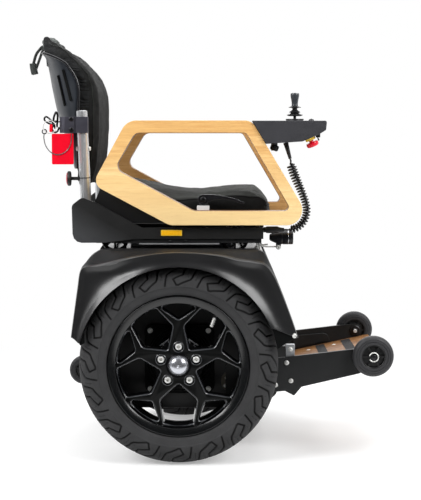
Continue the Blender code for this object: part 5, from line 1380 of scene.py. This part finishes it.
SPINE = mm("640 -250, 700 -264, 840 -313.4, 900 -326, 978 -338, 1030 -344")
FRONT = mm("640 -222.5, 672.5 -208.5, 707.7 -199, 746 -195.5, 800 -191.4, 870 -191.1, 900 -193.9, "
        "924.3 -201.7, 946.3 -214.2, 966.7 -236.3, 985 -252, 993.4 -261.3, 1000 -285, 1002.8 -299.1, "
        "1023.9 -322.5, 1031 -334.5")
WING = mm("700 -248, 850.1 -245, 880 -242.9, 896 -243.5, 919.1 -249.5, 935.8 -260, 957.2 -277, "
        "967.9 -298.3, 978 -326")


def shell_line(share, height):
    angle = share * math.pi / 2
    spine = read_table(SPINE, height)
    depth = max(read_table(WING, height) - spine, 0.004)
    forward = depth * (1 - abs(math.cos(angle)) ** SHELL_BEND)
    return Vector((spine + forward, SHELL_HALF * math.sin(angle), height))


def back_point(u, v, w):
    """Point of the back cushion's outside."""
    up = (w + 1) / 2
    z = 0.65 + (1.024 - 0.65) * up
    width = 0.1795 * (1 - 0.2 * max(0, (up - 0.74) / 0.26) ** 2)
    y = v * width
    angle = math.asin(max(-1, min(1, y / SHELL_HALF)))
    spine = read_table(SPINE, z)
    depth = max(read_table(WING, z) - spine, 0.004) if 0.69 < z < 0.978 else 0.004
    rear = spine + 0.0075 + depth * (1 - math.cos(angle) ** SHELL_BEND)
    front = read_table(FRONT, z) - 0.018 * (1 - v * v) - 0.004 * math.exp(-(v / 0.18) ** 2)
    front = max(front, rear + 0.016)
    x = rear + (front - rear) * (u + 1) / 2
    edge = max(0.0, abs(v) - 0.8) / 0.2
    x -= 0.01 * edge ** 2 * max(0, u) ** 3
    y *= 1 - 0.035 * max(0, u) ** 6
    return Vector((x, y, z))


def back_cushion():
    piece = padded("back_cushion_visual", grid_box(24, back_point), "backrest",
            "side_cloth front_cloth gathered_cloth", "back_cushion", 0.0045,
            lambda p: p.x - AXLE < read_table(SPINE, p.z) + 0.01)
    for polygon in piece.data.polygons:
        x, z = polygon.center.x - AXLE, polygon.center.z
        # Painted shade: faces not turned to the sides, mainly front and back, take a darker cloth.
        if abs(polygon.normal.y) < 0.55:
            polygon.material_index = 1
        elif z > 0.8 and x < read_table(WING, z) + 0.022:
            polygon.material_index = 2

    def gathers(p):
        x = p.x - AXLE
        edge = read_table(WING, p.z) + 0.013
        near = math.exp(-((x - edge) / 0.012) ** 2) if abs(p.y) > 0.12 and p.z > 0.84 else 0
        return 0.6 + 3.2 * near

    folds(piece, 0.0016, 42, 7.0, gathers)
    for side in SIDES:
        line = [back_point(0.62, side, w) for w in np.linspace(-0.94, 0.9, 50)]
        piping("back_seam_" + LETTER[side], line, 0.0011, "backrest", "seat_cloth", piece)


seat_cushion()
back_cushion()


# Backrest

POST_FOOT = Vector((-0.226, 0.205, 0.612))
POST_TOP = Vector((-0.2345, 0.205, 0.84))


def back_shell():
    columns = 48
    heights = [0.7, 0.712, 0.735, 0.76, 0.785, 0.81, 0.835, 0.86, 0.88, 0.9, 0.915, 0.93, 0.943, 0.955,
            0.964, 0.971, 0.978]
    points = [shell_line(2 * c / columns - 1, z) for z in heights for c in range(columns + 1)]
    row = columns + 1
    starts = [r * row + c for r in range(len(heights) - 1) for c in range(columns)]
    faces = [(k, k + row, k + row + 1, k + 1) for k in starts]
    piece = make("back_shell_visual", (points, faces), "backrest", "shell_plastic",
            "back_shell", recalc=False)
    wall = piece.modifiers.new("wall", "SOLIDIFY")
    wall.thickness = 0.004
    wall.offset = -1 if piece.data.polygons[columns // 2].normal.x < 0 else 1
    rim_line = [shell_line(-1, z) + Vector((0.0005, -0.0002, 0)) for z in heights]
    top = [shell_line(2 * c / columns - 1, heights[-1]) + Vector((0.001, 0, 0)) for c in range(1, columns)]
    rim_line += top + [shell_line(1, z) + Vector((0.0005, 0.0002, 0)) for z in reversed(heights)]
    make("back_shell_rim", sweep(rim_line, 0.0032, 10), "backrest", "gloss_plastic")
    slots = Shape()
    for side in SIDES:
        for (x0, z0), (x1, z1) in (mm("-281 939, -262.3 864.6"), mm("-294.9 925.8, -277.9 852.3")):
            line = []
            for k in range(9):
                t = k / 8
                x, z = x0 + (x1 - x0) * t, z0 + (z1 - z0) * t
                spine, wing = read_table(SPINE, z), read_table(WING, z)
                forward = min(1, max(0, (x - spine) / max(wing - spine, 0.004)))
                angle = math.acos(max(0.0, (1 - forward)) ** (1 / SHELL_BEND))
                line.append((x, side * (SHELL_HALF * math.sin(angle) + 0.0022), z))
            slots.add(sweep(line, 0.0034, 8))
    make("back_shell_slots", slots, "backrest", "matt_black_cover")


def posts():
    for side in SIDES:
        letter = LETTER[side]
        shape = Shape()
        foot = Vector((POST_FOOT.x, side * POST_FOOT.y, POST_FOOT.z))
        top = Vector((POST_TOP.x, side * POST_TOP.y, POST_TOP.z))
        way = (top - foot).normalized()
        start = foot - way * 0.016
        length = (top - start).length
        r = POST_RADIUS
        shape.add(lathe([(0, 0), (r - 0.001, 0), (r, 0.001), (r, length - 0.0012), (r - 0.0012, length),
                (r - 0.003, length), (r - 0.003, length - 0.012), (0, length - 0.012)], start, way, 48))
        shape.add(bar(foot, (foot.x, side * 0.2237, foot.z), 0.006, steps=24))
        make("back_post_visual_" + letter, shape, "backrest", "polished_tube",
                "back_post_" + letter, sharp=35)
        rows = [(r, 0), (r + 0.0006, 0.0003), (r + 0.0006, 0.0022), (r, 0.0025)]
        make("post_band_" + letter, lathe(rows, foot + way * 0.065, way, 40), "backrest", "black_plastic")
        screws = Shape()
        at = foot + way * 0.1365
        for sign in (-1, 1):
            screws.add(lathe(mm("0 0, 4.5 0, 5.5 1, 5 4.2, 3 5.2, 0 5.2"),
                    at + Vector((sign * (r - 0.0006), 0, 0)), (sign, 0, 0), 20))
        make("post_screws_" + letter, screws, "backrest", "zinc_screws")
        clamp(side)


def clamp(side):
    letter = LETTER[side]
    inner, outer = 0.1903, 0.2225
    half = (outer - inner) / 2
    middle = side * (inner + half)
    outline = [(-0.2195, -half), (-0.2195, half)] + ring((-0.272, 0), half, 18, 90, 270)
    hole = ring((-0.2331, side * 0.205 - middle), 0.01345, 40)
    block = slab([outline, hole], 0.0388, lambda u, v, w: (u, middle + v, 0.8056 + w))
    make("back_clamp_visual_" + letter, block, "backrest", "anodised_clamp",
            "back_clamp_" + letter, bevel=0.0014, segments=3, limit=50)
    bits = Shape()
    for x, z in mm("-258.6 819.5, -257.9 794"):
        bits.add(screw((x, side * (outer - 0.0004), z), (0, side, 0), 0.0058, 0.0024))
    if side == RIGHT:
        hook = [(-0.286, middle, 0.813), (-0.3061, -0.212, 0.813), (HOOK.x, -0.216, HOOK.z),
                (HOOK.x, -0.23, HOOK.z)]
        bits.add(sweep(smooth_line(hook, 16), 0.0015, 10))
    make("clamp_screws_" + letter, bits, "backrest", "black_screws")
    make("clamp_split_" + letter, brick((-0.25, side * 0.2226, 0.7863), (-0.2488, side * 0.2229, 0.8249)),
            "backrest", "cord_jacket")


def tag():
    y = -0.2262
    form = plate([rectangle(-0.305, 0.711, -0.253, 0.7845, 0.003, 4)], -y - 0.0013, -y + 0.0013, RIGHT)
    make("tag_visual", form, "tag", "red_tag", "tag", bevel=0.0005)
    metal = Shape()
    centre_z = HOOK.z + 0.0015 + 0.0003 + 0.0012 - 0.0155
    for shift in (-0.0007, 0.0007):
        line = [(HOOK.x + p.x, y + shift, centre_z + p.y) for p in ring((0, 0), 0.0155, 56)]
        metal.add(sweep(line, 0.001, 8, cyclic=True))
    line = [(-0.3225 + p.x, y + 0.0006, 0.7895 + p.y) for p in ring((0, 0), 0.0052, 28)]
    metal.add(sweep(line, 0.0014, 8, cyclic=True), 1)
    make("key_ring", metal, "tag", "zinc_screws black_screws")
    make("cord_toggle", lathe(mm("0 0, 2.2 0.3, 3.6 2.2, 3.6 17, 2.2 18.8, 0 19"),
            (-0.3068, y - 0.003, 0.788), (0.05, 0, 1), 24), "tag", "red_tag")
    loop = mm("-322.2 786.5, -323.5 774, -318.5 754, -305 738.5, -286 734.5, -268 745, -259 762, -257 784")
    line = smooth_line([(x, y - 0.0024, z) for x, z in loop], 48)
    make("tag_cable", sweep(line, 0.0012, 10), "tag", "braided_wire")
    cords = Shape()
    for samples, radius, line in ((40, 0.0022,
            "-300 -212 800, -306 -218 815, -318 -221.5 825, -323 -220 818, -313 -217 809, -299 -213 806"),
            (40, 0.0026, "-298 -210 796, -302 -212 818, -296 -212 836, -292.5 -208 826, -295 -206 800"),
            (30, 0.0024,
            "-296 -212 815, -302 -220 806, -304.5 -221.5 796, -300 -218 788, -293 -212 790, -289 -208 800")):
        cords.add(sweep(smooth_line(mm(line), samples), radius, 8))
    make("shell_cord_loops", cords, "backrest", "cord_jacket")


def ribbon(line, width, thickness):
    """Flat strap along a line in the middle plane."""
    points, faces = [], []
    line = [Vector(p) for p in line]
    for i, point in enumerate(line):
        ahead = (line[min(i + 1, len(line) - 1)] - line[max(i - 1, 0)]).normalized()
        normal = Vector((-ahead.z, 0, ahead.x))
        for y, n in ((-1, -1), (-0.9, -1), (0.9, -1), (1, -1), (1, 1), (0.9, 1), (-0.9, 1), (-1, 1)):
            thin = 0.72 if abs(y) == 1 else 1.0
            points.append(point + normal * n * thickness / 2 * thin + Vector((0, y * width / 2, 0)))
    for i in range(len(line) - 1):
        faces += band(i * 8, (i + 1) * 8, 8)
    faces += [tuple(range(7, -1, -1)), tuple(range((len(line) - 1) * 8, len(line) * 8))]
    return points, faces


def pull_strap():
    shape = Shape()
    for samples, width, thickness, line in ((36, 0.025, 0.0042,
            "-339.5 0 956, -342 0 980, -347.5 0 1003, -353 0 1006, -360 0 999, -370 0 985, -377.5 0 960"),
            (30, 0.0235, 0.0038, "-348 0 1002, -353 0 996, -359 0 980, -364 0 966, -370 0 950"),
            (12, 0.031, 0.0145, "-378 0 963, -376.5 0 950, -373.5 0 936")):
        shape.add(ribbon(smooth_line(mm(line), samples), width, thickness))
    make("pull_strap_visual", shape, "backrest", "webbing", "pull_strap", bevel=0.0004,
            segments=1, limit=60)


def top_cover():
    """Grey cover gathered over the cushion's top edge."""
    def point(u, v, w):
        z_mid = 1.0165 - 0.02 * abs(v) ** 2.4
        y = v * 0.118 * (1 - 0.04 * abs(w))
        angle = math.atan2(w, u)
        size = max(abs(u), abs(w))
        lean = 0.01 * abs(v) ** 2
        wide, tall = 0.0185 + 0.004 * (1 - abs(v)), 0.014 * (1 - 0.35 * abs(v) ** 3)
        return Vector((-0.332 + lean + wide * size * math.cos(angle), y,
                z_mid + tall * size * math.sin(angle)))

    piece = padded("back_top_cover", grid_box(18, point), "backrest", "top_cloth", None, 0.004,
            lambda p: p.z < 0.998, 0.004)
    folds(piece, 0.003, 46, 11.0)
    folds(piece, 0.0016, 110, 5.0)


def rear_reflector():
    lean = (POST_TOP.x - POST_FOOT.x) / (POST_TOP.z - POST_FOOT.z)
    height = 0.6766
    stem_end = POST_FOOT.x + (height - POST_FOOT.z) * lean - POST_RADIUS - 0.0005
    shape = Shape()
    place = (0, -0.205, height)
    shape.add(lathe(mm("0 273.6, 6 273.4, 11 272.8, 14.8 271.4, 16 269.6, 0 269.6"), place, (-1, 0, 0), 48),
            1)
    shape.add(lathe([(0.016, 0.269), (0.0166, 0.2696), (0.0172, 0.2694), (0.018, 0.268), (0.018, 0.264),
            (0.016, 0.262), (0.006, 0.2612), (0.0042, 0.26), (0.0042, -stem_end + 0.003),
            (0.006, -stem_end + 0.0025), (0.006, -stem_end), (0, -stem_end)], place, (-1, 0, 0), 48), 0)
    shape.add(lathe(mm("0 269, 15.2 269.5"), place, (-1, 0, 0), 48))
    make("rear_reflector_visual", shape, "backrest", "black_plastic red_reflector",
            "rear_reflector", sharp=35)


back_shell()
posts()
tag()
pull_strap()
top_cover()
rear_reflector()


# Controls

BOX_Y = -0.219
STICK = (0.2777, BOX_Y, 0.0)


def control_box():
    refined("control_box", "control_box_coat", 0.0007, 2, 45)
    make("joystick_seat", lathe(mm("12.7 817.8, 12.7 818.6, 19 818.6, 20 818, 20 817.2"), STICK, (0, 0, 1),
            48), "seat", "black_plastic")


def joystick():
    refined("joystick_gimbal", "zinc_screws", 0.0, 1)
    shape = Shape()
    handle = mm("0 882, 7.6 881.8, 9.6 880.8, 10.3 879, 10.5 876.5, 10 872, 8.8 866, 7.8 860, 7.4 855.5, "
            "7.7 852.5, 8 851.5, 0 851.5")
    shape.add(lathe(handle, STICK, (0, 0, 1), 48), 1)
    bellows = mm("7 851.5, 10 850, 15 847.8, 15 846.8, 9 846.2, 6 844.8, 5.8 843, 6.6 841.2, 10.5 838.8, "
            "13.6 836.4, 13.6 835.4, 10 834.4, 9.2 833.4, 12 832.2, 16.5 830.8, 19.2 829.6, 19.2 828.6, "
            "17.2 827.6, 15 826.8, 13 826.4, 3.5 826.2, 3.2 813.5, 0 813.5")
    shape.add(lathe([(0, 0.8515)] + bellows, STICK, (0, 0, 1), 48))
    make("joystick_visual", shape, "joystick_stick", "black_plastic stick_grip",
            "joystick_stick", sharp=40)
    make("joystick_boot", lathe(mm("21.8 817.6, 21.8 819.4, 21.2 820, 19 819.6, 17.2 818.8, 13 818.9, "
            "10.6 818.9, 10.6 818.1, 16 817.8, 16 817.6"), STICK, (0, 0, 1), 48, closed=True), "seat",
            "black_plastic", sharp=60)


def small_controls():
    curve = [(0.0067 * math.cos(a), 0.816 + 0.005 * math.sin(a)) for a in np.linspace(0, math.pi / 2,
            10)[:-1]]
    dome = lathe(mm("0 811.5, 6.7 811.5") + curve + [(0, 0.821)], (0.3175, BOX_Y, 0), (0, 0, 1), 40)
    make("dome_button_visual", dome, "dome_button", "gloss_plastic", "dome_button", sharp=60)
    axis = Vector((0.0167, 0, -0.039)).normalized()
    place = Vector((0.3145, BOX_Y, 0.7743))
    make("stop_collar_visual", lathe(mm("5.8 6.3, 11.2 6.3, 12 5.8, 12.5 4.8, 12.5 0.3, 5.8 0.3"), place,
            axis, 40, closed=True), "seat", "yellow_plastic", "stop_collar", sharp=40)
    make("stop_button_visual", lathe(mm("0 5, 5.5 5, 5.5 10.7, 12.5 10.7, 14 11.4, 14.9 13.2, 15.1 15.8, "
            "14.7 18.6, 13.5 20.7, 11 22.2, 6.6 22.9, 0 23.1"), place, axis, 48), "stop_button", "stop_red",
            "stop_button", sharp=50)
    refined("toggle", "black_plastic", 0.0, 1, 60)
    knob = Shape()
    centre = Vector((0.229, BOX_Y, 0.75))
    knob.add(lathe(mm("0 -6.2, 7 -6.2, 8.8 -5, 9.2 -2, 9.2 6, 8 8, 0 8"), centre, (0.35, 0, 1), 32))
    for i in range(12):
        angle = 2 * math.pi * i / 12
        off = Vector((0.009 * math.cos(angle), 0.009 * math.sin(angle), 0))
        turn = Vector((0.35, 0, 1)).to_track_quat("Z", "Y").to_matrix()
        knob.add(bar(centre + turn @ (off + Vector((0, 0, -0.004))),
                centre + turn @ (off + Vector((0, 0, 0.0065))), 0.0012, steps=8))
    make("thumb_knob", knob, "seat", "black_plastic", sharp=40)
    make("stop_lock_clip", brick((0.329, BOX_Y - 0.012, 0.7755), (0.3385, BOX_Y + 0.012, 0.785)), "seat",
            "black_plastic", bevel=0.001)


def quick_release():
    px, pz = 0.0576, 0.625
    foot = Shape().add(plate([rectangle(0.0425, 0.5995, 0.0728, 0.6104, 0.002, 3)], 0.1845, 0.206, RIGHT), 0)
    ear = mm("48 610.4, 68 610.4") + ring((px, pz), 0.0095, 18, -20, 200)
    foot.add(plate([ear], 0.185, 0.1908, RIGHT), 1)
    make("lever_base_visual", foot, "seat", "white_plastic black_plastic", "lever_base",
            bevel=0.0006)
    lever_outer = 0.2065 - 0.0003 - 0.0047 - 0.0005
    lever_inner = lever_outer - 0.0095
    back = mm("74.5 621.5, 85.7 625.5, 113.3 626.2, 133 622.5, 150 615")
    outline = ring((px, pz), 0.013, 24, 70, 300) + back + ring((0.1545, 0.6175), 0.0028, 8, -80, 80)
    outline += mm("138 626.5, 117.6 632.2, 92.6 636.6, 73 637.8")
    # The lever's rounded edges take the light grey edge finish as a painted highlight.
    make("lever_visual", plate([outline, ring((px, pz), 0.0043, 24)], lever_inner, lever_outer, RIGHT),
            "lever", "gloss_plastic spoke_edge_paint", "quick_release_lever", bevel=0.0015,
            segments=3, limit=50, rim_kind=1)
    pin = Shape().add(screw((px, -lever_inner - 0.0003, pz), (0, 1, 0), 0.006, 0.0028))
    pin.add(screw((px, -lever_outer + 0.0001, pz), (0, -1, 0), 0.007, 0.003))
    make("lever_screw", pin, "seat", "black_screws")


def headlamp():
    refined("headlamp_bracket", "zinc_screws", 0.0004, 1)
    y, z = -0.185, 0.5325
    shape = Shape()
    body = mm("0 219, 5 219.2, 7.8 220.5, 11 227, 13.8 234, 15 239, 16 244, 17 247, 17.2 249, 16.6 250, "
            "16.6 251.6, 17.2 252.6, 17.2 274, 16.8 276, 15.6 276.8, 15 276, 14.6 270, 0 265")
    shape.add(lathe(body, (0, y, z), (1, 0, 0), 56))
    # A thin chrome band round the lamp body is a painted highlight, standing for a reflected line of light.
    shape.add(lathe(mm("17.35 263.8, 17.6 264.2, 17.6 265.4, 17.35 265.8"), (0, y, z), (1, 0, 0), 56), 1)
    shape.add(lathe(mm("14.7 274, 12 275, 6 275.8, 0 276"), (0, y, z), (1, 0, 0), 48), 2)
    lug = mm("246.8 528.5, 234.8 528.5") + ring((0.2408, 0.5095), 0.006, 10, 180, 360)
    shape.add(plate([lug], 0.1935, 0.1975, RIGHT))
    make("headlamp_visual", shape, "headlamp", "lamp_body chrome lamp_lens", "headlamp",
            sharp=35)
    bolts = Shape().add(screw((0.2408, -0.199, 0.5095), (0, -1, 0), 0.0052, 0.0034))
    for x in (0.189, 0.1945):
        bolts.add(lathe(mm("4 0, 4 3.4, 3.2 4, 0 4"), (x, y, 0.5082), (0, 0, -1), 6))
        bolts.add(bar((x, y, 0.505), (x, y, 0.5), 0.0022, steps=12))
    wire = [(x, y, z) for x, z in mm("179.5 499.3, 183.5 506, 188 511.2, 195 513.5, 206 514.2, 215.3 515.2")]
    bolts.add(sweep(smooth_line(wire, 24), 0.0019, 8))
    make("lamp_bolts", bolts, "seat", "zinc_screws", sharp=30)


control_box()
joystick()
small_controls()
quick_release()
headlamp()


# Floor, light and sky

FLOOR_GLOW = 0.36


def studio():
    """White studio: a floor that keeps the shadow, two side boxes, a big one above and one behind."""
    scene = bpy.context.scene
    scene.view_settings.view_transform = "Standard"
    floor_mesh = bpy.data.meshes.new("floor")
    floor_mesh.from_pydata([(-30, -30, 0), (30, -30, 0), (30, 30, 0), (-30, 30, 0)], [], [(0, 1, 2, 3)])
    placed("floor", floor_mesh)
    paper = bpy.data.materials.new("floor_paper")
    paper.use_nodes = True
    floor_mesh.materials.append(paper)
    paper.node_tree.nodes.clear()
    build = Nodes(paper.node_tree)
    node, maths = build.node, build.maths
    path = node("ShaderNodeLightPath")
    seen = maths("MAXIMUM", maths("MAXIMUM", path["Is Camera Ray"], path["Is Transmission Ray"]),
            path["Is Glossy Ray"])
    place = node("ShaderNodeTexCoord")["Object"]
    away = node("ShaderNodeVectorMath", {0: place, 1: (0.0, 0.15, 0.0)}, operation="DISTANCE")["Value"]
    far = node("ShaderNodeMapRange", {"Value": away, "From Min": 0.45, "From Max": 1.5},
            interpolation_type="SMOOTHSTEP")["Result"]
    near = node("ShaderNodeBsdfDiffuse", {"Color": (0.7, 0.7, 0.7, 1)})[0]
    glow = node("ShaderNodeEmission", {"Strength": maths("MULTIPLY", seen, FLOOR_GLOW)})[0]
    lit = node("ShaderNodeAddShader", {0: near, 1: glow})[0]
    white = node("ShaderNodeEmission", {"Strength": 1.0})[0]
    surface = node("ShaderNodeMixShader", {0: maths("MULTIPLY", seen, far), 1: lit, 2: white})[0]
    ahead = node("ShaderNodeMapRange", {"Value": node("ShaderNodeSeparateXYZ", {0: place})["Y"],
            "From Min": -0.72, "From Max": -1.0}, interpolation_type="SMOOTHSTEP")["Result"]
    dark = node("ShaderNodeEmission", {"Strength": 0.03})[0]
    unlit = maths("MULTIPLY", path["Is Glossy Ray"], ahead)
    node("ShaderNodeOutputMaterial",
            {"Surface": node("ShaderNodeMixShader", {0: unlit, 1: surface, 2: dark})[0]})

    world = bpy.data.worlds.new("studio")
    scene.world = world
    world.use_nodes = True
    world.node_tree.nodes.clear()
    build.tree = world.node_tree
    path = node("ShaderNodeLightPath")
    seen = maths("MAXIMUM", path["Is Camera Ray"], path["Is Transmission Ray"])
    parts = node("ShaderNodeSeparateXYZ", {0: node("ShaderNodeTexCoord")["Generated"]})
    sky = node("ShaderNodeMapRange", {"Value": parts["Y"], "From Min": -0.78, "From Max": 0.3,
            "To Min": 0.015, "To Max": 0.9}, interpolation_type="SMOOTHSTEP")["Result"]
    strength = maths("ADD", maths("MULTIPLY", maths("SUBTRACT", 1.0, seen), sky), seen)
    node("ShaderNodeOutputWorld",
            {"Surface": node("ShaderNodeBackground", {"Color": (1, 1, 1, 1), "Strength": strength})[0]})

    def lamp(name, place, target, size, power):
        light = bpy.data.lights.new(name, "AREA")
        light.shape = "RECTANGLE"
        light.size, light.size_y = size
        light.energy = power
        holder = placed(name, light)
        holder.location = place
        holder.rotation_euler = (Vector(target) - Vector(place)).to_track_quat("-Z", "Y").to_euler()

    lamp("overhead", (0.0, 0.1, 2.9), (0.0, 0.0, 0.5), (2.6, 1.8), 32)
    lamp("box_left", (-2.35, -1.95, 2.45), (0.0, -0.1, 0.5), (1.5, 1.7), 88)
    lamp("box_right", (2.35, -1.95, 2.35), (0.0, -0.1, 0.5), (1.5, 1.7), 78)
    lamp("rear", (0.3, 2.8, 2.0), (0.0, 0.0, 0.5), (2.2, 1.4), 30)


studio()
